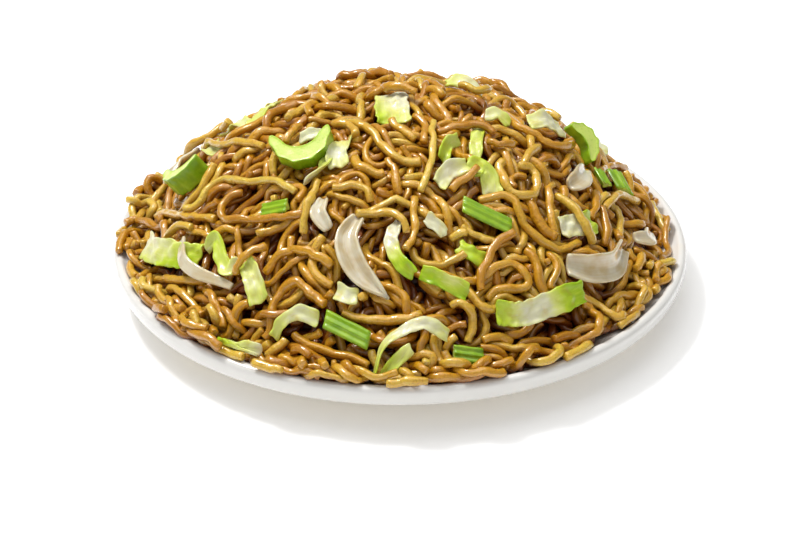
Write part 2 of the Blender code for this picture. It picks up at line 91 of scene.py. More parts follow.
def add_node(
    tree: bpy.types.NodeTree,
    kind: str,
    settings: dict[str | int, Any] | None = None,
    links: dict[str | int, bpy.types.NodeSocket] | None = None,
) -> bpy.types.Node:
    """Adds a shader node with its settings and its incoming links.

    Args:
        tree: the node tree that it joins.
        kind: the node's type name.
        settings: properties and socket values, with a colour ramp's under the name stops.
        links: for each input socket, the output that feeds it.

    Returns:
        The new node.
    """
    node = tree.nodes.new(kind)
    for key, value in (settings or {}).items():
        if key == "stops":
            ramp = node.color_ramp.elements
            while len(ramp) < len(value):
                ramp.new(0.5)
            for element, (place, colour) in zip(ramp, value):
                element.position = place
                element.color = colour
        elif isinstance(key, str) and hasattr(node, key):
            setattr(node, key, value)
        else:
            node.inputs[key].default_value = value
    for key, socket in (links or {}).items():
        tree.links.new(socket, node.inputs[key])
    return node


def new_material(
    name: str,
) -> tuple[bpy.types.Material, bpy.types.NodeTree, bpy.types.NodeSocket]:
    """Starts a material that has only its object's coordinates.

    Args:
        name: what the real surface is called.

    Returns:
        The material, its node tree and the coordinates.
    """
    material = bpy.data.materials.new(name)
    material.use_nodes = True
    tree = material.node_tree
    tree.nodes.clear()
    return material, tree, add_node(tree, "ShaderNodeTexCoord").outputs["Object"]


@dataclass(frozen=True)
class WhiteGlaze:
    """Vitreous glaze on porcelain, dipped and fired: a warm white with a hard, slightly wavy gloss."""

    white: str = "DFDDD8"
    oil: str = "E9DCC0"
    bisque: str = "D9D3C6"
    wave: float = 14 * MM
    blotch: float = 22 * MM
    film_start: float = 111 * MM
    film_end: float = 98 * MM
    film_above: float = 6 * MM
    foot_top: float = 0.5 * MM

    def material(self) -> bpy.types.Material:
        """Builds the glaze, with a thin film of oil by the food and a bare foot ring.

        Returns:
            The plate's material.
        """
        material, tree, coords = new_material("glazed porcelain")
        apart = add_node(tree, "ShaderNodeSeparateXYZ", links={0: coords})
        flat = add_node(
            tree, "ShaderNodeVectorMath", {"operation": "MULTIPLY", 1: (1, 1, 0)}, {0: coords}
        )
        reach = add_node(tree, "ShaderNodeVectorMath", {"operation": "LENGTH"}, {0: flat.outputs[0]})
        blotch = add_node(
            tree, "ShaderNodeTexNoise", {"Scale": 1 / self.blotch, "Detail": 3.0}, {"Vector": coords}
        )
        shifted = add_node(
            tree, "ShaderNodeMath", {"operation": "MULTIPLY_ADD", 1: self.blotch},
            {0: blotch.outputs["Fac"], 2: reach.outputs["Value"]},
        )
        film = add_node(
            tree, "ShaderNodeMapRange",
            {
                "From Min": self.film_start + self.blotch / 2,
                "From Max": self.film_end + self.blotch / 2, "To Max": 0.85,
            },
            {"Value": shifted.outputs[0]},
        )
        above = add_node(
            tree, "ShaderNodeMath", {"operation": "GREATER_THAN", 1: self.film_above},
            {0: apart.outputs["Z"]},
        )
        oiled = add_node(
            tree, "ShaderNodeMath", {"operation": "MULTIPLY"}, {0: film.outputs[0], 1: above.outputs[0]}
        )
        glaze = add_node(
            tree, "ShaderNodeMix",
            {"data_type": "RGBA", 6: linear(self.white), 7: linear(self.oil)}, {0: oiled.outputs[0]},
        )
        bare = add_node(
            tree, "ShaderNodeMath", {"operation": "LESS_THAN", 1: self.foot_top}, {0: apart.outputs["Z"]}
        )
        colour = add_node(
            tree, "ShaderNodeMix", {"data_type": "RGBA", 7: linear(self.bisque)},
            {0: bare.outputs[0], 6: glaze.outputs[2]},
        )
        rough = add_node(
            tree, "ShaderNodeMapRange", {"To Min": 0.14, "To Max": 0.75}, {"Value": bare.outputs[0]}
        )
        ripple = add_node(
            tree, "ShaderNodeTexNoise", {"Scale": 1 / self.wave, "Detail": 1.0}, {"Vector": coords}
        )
        bump = add_node(
            tree, "ShaderNodeBump", {"Strength": 0.25, "Distance": 0.15 * MM},
            {"Height": ripple.outputs["Fac"]},
        )
        shader = add_node(
            tree, "ShaderNodeBsdfPrincipled",
            {"IOR": 1.52, "Coat Weight": 0.3, "Coat Roughness": 0.06},
            {"Base Color": colour.outputs[2], "Roughness": rough.outputs[0], "Normal": bump.outputs[0]},
        )
        add_node(tree, "ShaderNodeOutputMaterial", links={"Surface": shader.outputs[0]})
        return material


@dataclass(frozen=True)
class FriedNoodle:
    """Egg noodle, cut square and stir-fried in soy and oil: golden waxy dough under a wet film.

    A noodle's colour is darkened as painted shade with its depth under the top of the heap, in
    millimetres, from shade_from to shade_at; its underside counts as deeper.
    """

    pale: str = "DCBC48"
    golden: str = "CE961A"
    browned: str = "B47808"
    # soy_and_shade is the dark soy of the specks and also the painted shade of deep noodles and
    # undersides
    soy_and_shade: str = "7A3202"
    gleam: str = "FFF2D8"
    patch: float = 7 * MM
    wrinkle: float = 1.3 * MM
    speck: float = 0.6 * MM
    shade_from: float = 1.6
    shade_at: float = 9.0

    def material(self) -> bpy.types.Material:
        """Builds the noodles' material, which reads each one's own tone and paints shade by how deep it
        lies.

        Returns:
            The noodles' material.
        """
        material, tree, coords = new_material("stir-fried egg noodle")
        along = add_node(tree, "ShaderNodeUVMap", {"uv_map": "UVMap"}).outputs["UV"]
        tone = add_node(tree, "ShaderNodeAttribute", {"attribute_name": "tone"}).outputs["Fac"]
        sunk = add_node(tree, "ShaderNodeAttribute", {"attribute_name": "sunk"}).outputs["Fac"]
        patches = add_node(
            tree, "ShaderNodeTexNoise", {"Scale": 1 / self.patch, "Detail": 4.0, "Roughness": 0.6},
            {"Vector": coords},
        )
        mixed = add_node(
            tree, "ShaderNodeMath", {"operation": "MULTIPLY_ADD", 1: 0.55},
            {0: patches.outputs["Fac"], 2: tone},
        )
        body = add_node(
            tree, "ShaderNodeValToRGB",
            {
                "stops": [
                    (0.22, linear(self.pale)), (0.62, linear(self.golden)), (1.0, linear(self.browned)),
                ]
            },
            {"Fac": mixed.outputs[0]},
        )
        specks = add_node(
            tree, "ShaderNodeTexNoise", {"Scale": 1 / self.speck, "Detail": 2.0}, {"Vector": coords}
        )
        spotted = add_node(
            tree, "ShaderNodeMapRange", {"From Min": 0.58, "From Max": 0.76, "To Max": 0.5},
            {"Value": specks.outputs["Fac"]},
        )
        freckled = add_node(
            tree, "ShaderNodeMix", {"data_type": "RGBA", 7: linear(self.soy_and_shade)},
            {0: spotted.outputs[0], 6: body.outputs[0]},
        )
        # painted shade: the colour darkens towards soy_and_shade with depth in the heap and on undersides
        painted_shade = add_node(
            tree, "ShaderNodeMapRange",
            {"From Min": self.shade_from, "From Max": self.shade_at, "To Max": 0.97}, {"Value": sunk},
        )
        colour = add_node(
            tree, "ShaderNodeMix", {"data_type": "RGBA", 7: linear(self.soy_and_shade)},
            {0: painted_shade.outputs[0], 6: freckled.outputs[2]},
        )
        drawn = add_node(tree, "ShaderNodeMapping", {"Scale": (0.45, 1.6, 1.0)}, {"Vector": along})
        wrinkles = add_node(
            tree, "ShaderNodeTexNoise", {"Scale": 1.0, "Detail": 3.0, "Roughness": 0.6},
            {"Vector": drawn.outputs[0]},
        )
        grain = add_node(
            tree, "ShaderNodeTexNoise", {"Scale": 1 / self.wrinkle, "Detail": 2.0}, {"Vector": coords}
        )
        relief = add_node(
            tree, "ShaderNodeMath", {"operation": "MULTIPLY_ADD", 1: 0.7},
            {0: wrinkles.outputs["Fac"], 2: grain.outputs["Fac"]},
        )
        bump = add_node(
            tree, "ShaderNodeBump", {"Strength": 0.9, "Distance": 0.5 * MM}, {"Height": relief.outputs[0]}
        )
        wet = add_node(
            tree, "ShaderNodeMapRange",
            {"From Min": 0.35, "From Max": 0.65, "To Min": 0.16, "To Max": 0.5},
            {"Value": patches.outputs["Fac"]},
        )
        shader = add_node(
            tree, "ShaderNodeBsdfPrincipled",
            {
                "IOR": 1.42, "Specular IOR Level": 0.4, "Specular Tint": linear(self.gleam),
                "Subsurface Weight": 0.15, "Subsurface Radius": (1.0, 0.42, 0.08),
                "Subsurface Scale": 1.2 * MM, "Coat Weight": 0.9, "Coat Roughness": 0.14, "Coat IOR": 1.6,
            },
            {"Base Color": colour.outputs[2], "Roughness": wet.outputs[0], "Normal": bump.outputs[0]},
        )
        add_node(tree, "ShaderNodeOutputMaterial", links={"Surface": shader.outputs[0]})
        return material


@dataclass(frozen=True)
class PaintedShadeWeave:
    """Noodles packed under the ones that show, painted dark as the shade between them: a dark weave that
    closes every gap.

    The wave texture draws a ring every ring_period of its own length at a scale of 1.
    """

    dark: str = "2E0E04"
    strand: str = "4E1E06"
    pitch: float = 3.6 * MM
    ring_period: float = 0.314

    def material(self) -> bpy.types.Material:
        """Builds the weave.

        Returns:
            The material of the heap's inside.
        """
        material, tree, coords = new_material("noodle weave dark as painted shade")
        weave = add_node(
            tree, "ShaderNodeTexWave",
            {
                "wave_type": "RINGS", "rings_direction": "Z", "Scale": self.ring_period / self.pitch,
                "Distortion": 14.0, "Detail": 1.0, "Detail Scale": 0.5,
            },
            {"Vector": coords},
        )
        # painted shade: the weave's colours are the dark of the shade in the gaps
        colour = add_node(
            tree, "ShaderNodeValToRGB",
            {"stops": [(0.25, linear(self.dark)), (0.9, linear(self.strand))]},
            {"Fac": weave.outputs["Fac"]},
        )
        bump = add_node(
            tree, "ShaderNodeBump", {"Strength": 1.0, "Distance": 1.2 * MM},
            {"Height": weave.outputs["Fac"]},
        )
        shader = add_node(
            tree, "ShaderNodeBsdfPrincipled", {"Roughness": 0.4, "IOR": 1.45},
            {"Base Color": colour.outputs[0], "Normal": bump.outputs[0]},
        )
        add_node(tree, "ShaderNodeOutputMaterial", links={"Surface": shader.outputs[0]})
        return material


@dataclass(frozen=True)
class CabbageLeaf:
    """Cabbage, shredded and tossed in the pan: white ribs, lime green edges, thin enough to glow."""

    rib: str = "DCDAB8"
    cream: str = "D6DA7E"
    lime: str = "BCD034"
    green: str = "94B80E"
    sauce: str = "C89A48"
    cloud: float = 4.5 * MM
    vein: float = 1.1

    def material(self) -> bpy.types.Material:
        """Builds the leaf, whose green follows the attribute of that name.

        Returns:
            The cabbage's material.
        """
        material, tree, coords = new_material("blanched cabbage leaf")
        along = add_node(tree, "ShaderNodeUVMap", {"uv_map": "UVMap"}).outputs["UV"]
        green = add_node(tree, "ShaderNodeAttribute", {"attribute_name": "green"}).outputs["Fac"]
        cloud = add_node(
            tree, "ShaderNodeTexNoise", {"Scale": 1 / self.cloud, "Detail": 3.0}, {"Vector": coords}
        )
        shade = add_node(
            tree, "ShaderNodeMath", {"operation": "MULTIPLY_ADD", 1: 0.36, 2: -0.18},
            {0: cloud.outputs["Fac"]},
        )
        level = add_node(tree, "ShaderNodeMath", {"operation": "ADD"}, {0: shade.outputs[0], 1: green})
        drawn = add_node(tree, "ShaderNodeMapping", {"Scale": (0.16, self.vein, 1.0)}, {"Vector": along})
        veins = add_node(
            tree, "ShaderNodeTexNoise", {"Scale": 1.0, "Detail": 3.0, "Distortion": 0.4},
            {"Vector": drawn.outputs[0]},
        )
        lines = add_node(
            tree, "ShaderNodeMapRange", {"From Min": 0.52, "From Max": 0.66, "To Max": -0.12},
            {"Value": veins.outputs["Fac"]},
        )
        veined = add_node(
            tree, "ShaderNodeMath", {"operation": "ADD"}, {0: level.outputs[0], 1: lines.outputs[0]}
        )
        leaf = add_node(
            tree, "ShaderNodeValToRGB",
            {
                "stops": [
                    (0.08, linear(self.rib)), (0.38, linear(self.cream)),
                    (0.68, linear(self.lime)), (0.98, linear(self.green)),
                ]
            },
            {"Fac": veined.outputs[0]},
        )
        stain = add_node(
            tree, "ShaderNodeMapRange", {"From Min": 0.55, "From Max": 0.75, "To Max": 0.35},
            {"Value": cloud.outputs["Fac"]},
        )
        colour = add_node(
            tree, "ShaderNodeMix", {"data_type": "RGBA", 7: linear(self.sauce)},
            {0: stain.outputs[0], 6: leaf.outputs[0]},
        )
        bump = add_node(
            tree, "ShaderNodeBump", {"Strength": 0.45, "Distance": 0.3 * MM},
            {"Height": veins.outputs["Fac"]},
        )
        shader = add_node(
            tree, "ShaderNodeBsdfPrincipled",
            {
                "Roughness": 0.3, "IOR": 1.36, "Coat Weight": 0.35, "Coat Roughness": 0.08,
                "Subsurface Weight": 0.3, "Subsurface Radius": (1.0, 1.0, 0.3),
                "Subsurface Scale": 1.6 * MM,
            },
            {"Base Color": colour.outputs[2], "Normal": bump.outputs[0]},
        )
        add_node(tree, "ShaderNodeOutputMaterial", links={"Surface": shader.outputs[0]})
        return material


@dataclass(frozen=True)
class OnionPetal:
    """Onion, wilted in the pan: beige and half clear, with fine lines from end to end and a wet gloss."""

    clear: str = "D2CAB0"
    warm: str = "BEAA80"
    cloud: float = 7 * MM
    line: float = 1.6

    def material(self) -> bpy.types.Material:
        """Builds the petal.

        Returns:
            The onion's material.
        """
        material, tree, coords = new_material("fried onion petal")
        along = add_node(tree, "ShaderNodeUVMap", {"uv_map": "UVMap"}).outputs["UV"]
        drawn = add_node(tree, "ShaderNodeMapping", {"Scale": (0.05, self.line, 1.0)}, {"Vector": along})
        lines = add_node(
            tree, "ShaderNodeTexNoise", {"Scale": 1.0, "Detail": 2.0}, {"Vector": drawn.outputs[0]}
        )
        cloud = add_node(
            tree, "ShaderNodeTexNoise", {"Scale": 1 / self.cloud, "Detail": 2.0}, {"Vector": coords}
        )
        both = add_node(
            tree, "ShaderNodeMath", {"operation": "MULTIPLY_ADD", 1: 0.3},
            {0: lines.outputs["Fac"], 2: cloud.outputs["Fac"]},
        )
        colour = add_node(
            tree, "ShaderNodeValToRGB", {"stops": [(0.5, linear(self.clear)), (0.85, linear(self.warm))]},
            {"Fac": both.outputs[0]},
        )
        bump = add_node(
            tree, "ShaderNodeBump", {"Strength": 0.3, "Distance": 0.2 * MM},
            {"Height": lines.outputs["Fac"]},
        )
        shader = add_node(
            tree, "ShaderNodeBsdfPrincipled",
            {
                "Roughness": 0.2, "IOR": 1.4, "Coat Weight": 1.0, "Coat Roughness": 0.06,
                "Subsurface Weight": 0.55, "Subsurface Radius": (1.0, 0.75, 0.4),
                "Subsurface Scale": 3.0 * MM,
            },
            {"Base Color": colour.outputs[0], "Normal": bump.outputs[0]},
        )
        add_node(tree, "ShaderNodeOutputMaterial", links={"Surface": shader.outputs[0]})
        return material


@dataclass(frozen=True)
class CeleryStalk:
    """Celery, sliced and flash-fried: a ribbed green skin round pale, watery flesh with green strings."""

    skin: str = "98BA1E"
    groove: str = "749E0C"
    flesh: str = "CFE070"
    rind: str = "A2C62A"
    mottle: float = 5 * MM
    pore: float = 0.9 * MM
    strand: float = 1.4 * MM
    fibre: float = 0.8 * MM

    def skin_material(self) -> bpy.types.Material:
        """Builds the outside of the stalk, mottled with a darker green.

        Returns:
            The skin's material.
        """
        material, tree, coords = new_material("celery skin")
        cloud = add_node(
            tree, "ShaderNodeTexNoise", {"Scale": 1 / self.mottle, "Detail": 4.0}, {"Vector": coords}
        )
        colour = add_node(
            tree, "ShaderNodeValToRGB",
            {"stops": [(0.35, linear(self.groove)), (0.68, linear(self.skin))]},
            {"Fac": cloud.outputs["Fac"]},
        )
        pores = add_node(
            tree, "ShaderNodeTexNoise", {"Scale": 1 / self.pore, "Detail": 2.0}, {"Vector": coords}
        )
        bump = add_node(
            tree, "ShaderNodeBump", {"Strength": 0.3, "Distance": 0.2 * MM},
            {"Height": pores.outputs["Fac"]},
        )
        shader = add_node(
            tree, "ShaderNodeBsdfPrincipled",
            {
                "Roughness": 0.3, "IOR": 1.42, "Coat Weight": 0.45, "Coat Roughness": 0.12,
                "Subsurface Weight": 0.2, "Subsurface Radius": (0.6, 1.0, 0.3),
                "Subsurface Scale": 1.5 * MM,
            },
            {"Base Color": colour.outputs[0], "Normal": bump.outputs[0]},
        )
        add_node(tree, "ShaderNodeOutputMaterial", links={"Surface": shader.outputs[0]})
        return material

    def flesh_material(self) -> bpy.types.Material:
        """Builds the cut face, greener towards the skin.

        Returns:
            The flesh's material.
        """
        material, tree, coords = new_material("celery cut face")
        rind = add_node(tree, "ShaderNodeAttribute", {"attribute_name": "rind"}).outputs["Fac"]
        cells = add_node(
            tree, "ShaderNodeTexVoronoi", {"Scale": 1 / self.strand, "Randomness": 0.9},
            {"Vector": coords},
        )
        dots = add_node(
            tree, "ShaderNodeMapRange",
            {"From Min": 0.12, "From Max": 0.4, "To Min": 0.35, "To Max": 0.0},
            {"Value": cells.outputs["Distance"]},
        )
        level = add_node(tree, "ShaderNodeMath", {"operation": "ADD"}, {0: dots.outputs[0], 1: rind})
        colour = add_node(
            tree, "ShaderNodeValToRGB", {"stops": [(0.05, linear(self.flesh)), (0.9, linear(self.rind))]},
            {"Fac": level.outputs[0]},
        )
        fibres = add_node(
            tree, "ShaderNodeTexNoise", {"Scale": 1 / self.fibre, "Detail": 3.0}, {"Vector": coords}
        )
        bump = add_node(
            tree, "ShaderNodeBump", {"Strength": 0.5, "Distance": 0.25 * MM},
            {"Height": fibres.outputs["Fac"]},
        )
        shader = add_node(
            tree, "ShaderNodeBsdfPrincipled",
            {
                "Roughness": 0.3, "IOR": 1.38, "Coat Weight": 0.4, "Coat Roughness": 0.1,
                "Subsurface Weight": 0.4, "Subsurface Radius": (0.8, 1.0, 0.35),
                "Subsurface Scale": 2.2 * MM,
            },
            {"Base Color": colour.outputs[0], "Normal": bump.outputs[0]},
        )
        add_node(tree, "ShaderNodeOutputMaterial", links={"Surface": shader.outputs[0]})
        return material


@dataclass
class HeapForm:
    """The form of the heap and the plate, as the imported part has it, looked up by place.

    In shorts, each place where the noodles end short of the lip has its bearing and its distance.
    """

    plate_radius: float = 115 * MM
    plate_height: float = 21 * MM
    floor_radius: float = 68 * MM
    floor_top: float = 6.5 * MM
    lip_thickness: float = 4.4 * MM
    lip_rise: float = 1.5 * MM
    slope_curve: float = 1.55
    radius: float = 109 * MM
    edge_height: float = 16.5 * MM
    rise: float = 59 * MM
    dome_curve: float = 2.3
    lump_height: float = 3.2 * MM
    lump_spacing: float = 26 * MM
    lump_start: tuple[float, float, float] = (3.7, 1.2, 0.4)
    rim_left: float = 1.2 * MM
    edge_pile: float = 3.2 * MM
    shorts: tuple[tuple[float, float], ...] = ((math.radians(-38), 3 * MM), (math.radians(24), 4 * MM))
    cell: float = 2 * MM
    half: float = 124 * MM
    heights: np.ndarray = field(init=False)
    normals: np.ndarray = field(init=False)

    def __post_init__(self) -> None:
        """Works out the heap's height and its outward direction on a square grid."""
        line = np.arange(-self.half, self.half + self.cell / 2, self.cell)
        offset = Vector(self.lump_start)
        lumps = np.array(
            [[noise.noise(Vector((x, y, 0)) / self.lump_spacing + offset) for x in line] for y in line]
        )
        x, y = np.meshgrid(line, line)
        share = np.minimum(1.0, np.hypot(x, y) / self.radius)
        self.heights = self.edge_height + self.rise * (1 - share**self.dome_curve)
        self.heights += self.lump_height * lumps * (1 - share**4)
        along, across = np.gradient(self.heights, self.cell)
        outward = np.stack([-across, -along, np.ones_like(across)], axis=-1)
        self.normals = outward / np.linalg.norm(outward, axis=-1, keepdims=True)

    def look_up(self, table: np.ndarray, x: np.ndarray, y: np.ndarray) -> np.ndarray:
        """Reads a grid between its corners.

        Args:
            table: the grid, row by row along y.
            x: places across.
            y: places along.

        Returns:
            The grid's value at each place.
        """
        last = table.shape[0] - 1.001
        column = np.clip((x + self.half) / self.cell, 0, last)
        row = np.clip((y + self.half) / self.cell, 0, last)
        left, low = column.astype(int), row.astype(int)
        u, v = column - left, row - low
        if table.ndim == 3:
            u, v = u[..., None], v[..., None]
        near = table[low, left] * (1 - u) + table[low, left + 1] * u
        far = table[low + 1, left] * (1 - u) + table[low + 1, left + 1] * u
        return near * (1 - v) + far * v

    def top(self, x: np.ndarray, y: np.ndarray) -> np.ndarray:
        """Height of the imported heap's core at each place."""
        return self.look_up(self.heights, x, y)

    def outward(self, x: np.ndarray, y: np.ndarray) -> np.ndarray:
        """Direction straight out of the heap at each place."""
        found = self.look_up(self.normals, x, y)
        return found / np.linalg.norm(found, axis=-1, keepdims=True)

    def reach(self, x: np.ndarray, y: np.ndarray) -> np.ndarray:
        """Finds how far out noodles lie: up to the lip, but less far in two places at the right.

        Args:
            x: places across.
            y: places along.

        Returns:
            The distance from the middle for each place's bearing.
        """
        bearing = np.arctan2(y, x)
        short = sum(np.maximum(0.0, np.cos(bearing - at)) ** 8 * room for at, room in self.shorts)
        return self.plate_radius - self.rim_left - short

    def lie(self, x: np.ndarray, y: np.ndarray) -> np.ndarray:
        """Height of the loose noodles' bed: the core, or a few layers over the plate near its lip."""
        return np.maximum(self.top(x, y), self.plate_inside(np.hypot(x, y)) + self.edge_pile)

    def plate_inside(self, radius: np.ndarray) -> np.ndarray:
        """Works out the height of the plate's upper surface.

        Args:
            radius: distances from the middle.

        Returns:
            The height at each distance.
        """
        lip_start = self.plate_radius - self.lip_thickness
        share = np.maximum(0.0, radius - self.floor_radius) / (lip_start - self.floor_radius)
        climb = self.plate_height - self.lip_rise - self.floor_top
        return self.floor_top + climb * share**self.slope_curve

    def cells(self, points: np.ndarray) -> tuple[np.ndarray, np.ndarray]:
        """Row and column of the grid's corner that is nearest to each point."""
        column, row = np.round((points[:, :2] + self.half) / self.cell).astype(int).T
        return row, column


def to_object(
    name: str, mesh: bmesh.types.BMesh, materials: list[bpy.types.Material]
) -> bpy.types.Object:
    """Makes a smooth-shaded object at the origin from a bmesh, which it frees.

    Args:
        name: the piece's name.
        mesh: its shape, in world coordinates.
        materials: its finishes, in the order of the faces' material numbers.

    Returns:
        The new object, in the scene.
    """
    data = bpy.data.meshes.new(name)
    mesh.to_mesh(data)
    mesh.free()
    for material in materials:
        data.materials.append(material)
    data.shade_smooth()
    piece = bpy.data.objects.new(name, data)
    bpy.context.scene.collection.objects.link(piece)
    return piece


def settle_in(piece: bpy.types.Object, slot: Slot, *nodes: str) -> bpy.types.Object:
    """Ties a piece to the part: it rides on the body and stands for some nodes.

    Args:
        piece: the finished piece.
        slot: not used.
        nodes: the nodes that it stands for.

    Returns:
        The same piece.
    """
    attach(piece, "root")
    if nodes:
        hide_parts(*nodes)
    LOG.info("%s: %d faces", piece.name, len(piece.data.polygons))
    return piece


def lathe(profile: list[tuple[float, float]], steps: int, weld: float = 0.005 * MM) -> bmesh.types.BMesh:
    """Turns a half section about Z with the spin operator.

    Args:
        profile: (radius, height) pairs, from the axis back to the axis.
        steps: how many steps the turn has.
        weld: how near two points are merged.

    Returns:
        The closed turned shape, facing outwards.
    """
    mesh = bmesh.new()
    line = [mesh.verts.new((radius, 0, height)) for radius, height in profile]
    edges = [mesh.edges.new(pair) for pair in zip(line, line[1:])]
    bmesh.ops.spin(
        mesh, geom=line + edges, cent=(0, 0, 0), axis=(0, 0, 1), angle=math.tau, steps=steps,
        use_merge=True,
    )
    bmesh.ops.remove_doubles(mesh, verts=mesh.verts, dist=weld)
    bmesh.ops.recalc_face_normals(mesh, faces=mesh.faces)
    return mesh


def arc(
    centre: tuple[float, float], radius: float, start: float, end: float, steps: int
) -> list[tuple[float, float]]:
    """Points on an arc of a half section.

    Args:
        centre: the arc's centre, as radius and height.
        radius: the arc's own radius.
        start: its first angle in degrees.
        end: its last angle in degrees.
        steps: how many steps it has.

    Returns:
        The points, in order.
    """
    angles = [math.radians(start + (end - start) * step / steps) for step in range(steps + 1)]
    return [(centre[0] + radius * math.cos(a), centre[1] + radius * math.sin(a)) for a in angles]


@dataclass
class Plate:
    """The coupe plate: a flat floor, a slope that steepens to a thick rounded lip, and a foot ring.

    The wall is the outside under the lip: its first and last radius and height, and the sag between.
    The bend is its turn to the foot, as radius and height.
    """

    form: HeapForm
    glaze: WhiteGlaze = WhiteGlaze()
    steps: int = 160
    slope_rings: int = 18
    floor_rings: tuple[float, ...] = (0, 20, 40, 58)
    lip_depth: float = 5.6 * MM
    lip_tuck: float = 3.4 * MM
    lip_round: float = 3 * MM
    wall_radii: tuple[float, float] = (110, 82)
    wall_heights: tuple[float, float] = (12.4, 4.6)
    wall_sag: float = 1.4
    wall_rings: tuple[float, ...] = (0.12, 0.3, 0.5, 0.7, 0.88)
    bend: tuple[tuple[float, float], ...] = ((82, 4.6), (76, 3.4), (70, 2.5))
    foot_radius: float = 66 * MM
    foot_width: float = 4 * MM
    foot_height: float = 2 * MM
    foot_round: float = 0.7 * MM

    def profile(self) -> list[tuple[float, float]]:
        """Draws the half section, from the middle of the floor, over the lip and in to the foot.

        Returns:
            The (radius, height) pairs.
        """
        form = self.form
        lip_start = form.plate_radius - form.lip_thickness
        points = [(radius * MM, form.floor_top) for radius in self.floor_rings]
        for ring in range(self.slope_rings + 1):
            radius = form.floor_radius + (lip_start - form.floor_radius) * ring / self.slope_rings
            points.append((radius, float(form.plate_inside(np.array(radius)))))
        roundness = form.lip_thickness / 2
        centre = (form.plate_radius - roundness, form.plate_height - roundness)
        points += arc(centre, roundness, 132, 0, 9)
        low = form.plate_height - self.lip_depth
        points += [(form.plate_radius - 0.15 * MM, low + 1.6 * MM), (form.plate_radius - 0.5 * MM, low)]
        points += arc((form.plate_radius - self.lip_tuck, low + 0.3 * MM), self.lip_round, -18, -62, 4)
        (wide, narrow), (high, down) = self.wall_radii, self.wall_heights
        for share in self.wall_rings:
            height = high - (high - down) * share - self.wall_sag * share * (1 - share)
            points.append(((wide - (wide - narrow) * share) * MM, height * MM))
        points += [(radius * MM, height * MM) for radius, height in self.bend]
        points.append((self.foot_radius + 0.6 * MM, self.foot_height + 0.1 * MM))
        outer, inner = self.foot_radius, self.foot_radius - self.foot_width
        points += arc((outer - self.foot_round, self.foot_round), self.foot_round, 0, -90, 4)
        points += arc((inner + self.foot_round, self.foot_round), self.foot_round, -90, -180, 4)
        points += [(radius, self.foot_height) for radius in (inner - 0.5 * MM, 30 * MM, 0)]
        return points

    def build(self) -> bpy.types.Object:
        """Turns the plate and glazes it.

        Returns:
            The plate.
        """
        piece = to_object("plate_glazed", lathe(self.profile(), self.steps), [self.glaze.material()])
        return settle_in(piece, Slot.GLAZE, "plate")


def subdivided(mesh: bmesh.types.BMesh, levels: int) -> bmesh.types.BMesh:
    """Applies a Subdivision Surface to a bmesh, which it frees.

    Args:
        mesh: the coarse shape.
        levels: how often each face is split.

    Returns:
        The fine shape.
    """
    coarse = bpy.data.meshes.new("coarse")
    mesh.to_mesh(coarse)
    mesh.free()
    holder = bpy.data.objects.new("coarse", coarse)
    bpy.context.scene.collection.objects.link(holder)
    smooth = holder.modifiers.new("smooth", "SUBSURF")
    smooth.levels = levels
    smooth.render_levels = levels
    bpy.context.view_layer.update()
    graph = bpy.context.evaluated_depsgraph_get()
    fine_data = bpy.data.meshes.new_from_object(holder.evaluated_get(graph))
    fine = bmesh.new()
    fine.from_mesh(fine_data)
    bpy.data.objects.remove(holder)
    bpy.data.meshes.remove(coarse)
    bpy.data.meshes.remove(fine_data)
    return fine


def through(line: np.ndarray, spot: np.ndarray) -> np.ndarray:
    """Reads a Catmull-Rom curve through rows of numbers.

    Args:
        line: the rows that the curve passes.
        spot: where along it each wanted point is, counted in rows.

    Returns:
        The points.
    """
    ends = np.concatenate([2 * line[:1] - line[1:2], line, 2 * line[-1:] - line[-2:-1]])
    index = np.clip(spot.astype(int), 0, len(line) - 2)
    t = (spot - index)[:, None]
    a, b, c, d = ends[index], ends[index + 1], ends[index + 2], ends[index + 3]
    bent, turned = 2 * a - 5 * b + 4 * c - d, 3 * b - a - 3 * c + d
    return 0.5 * (2 * b + (c - a) * t + bent * t**2 + turned * t**3)


def along_route(places: tuple[tuple[float, float], ...], shares: np.ndarray) -> np.ndarray:
    """Reads a smooth curve through a few places.

    Args:
        places: the places that the curve passes.
        shares: how far along it, from 0 to 1, each wanted point is.

    Returns:
        The points.
    """
    return through(np.array(places, float), shares * (len(places) - 1))


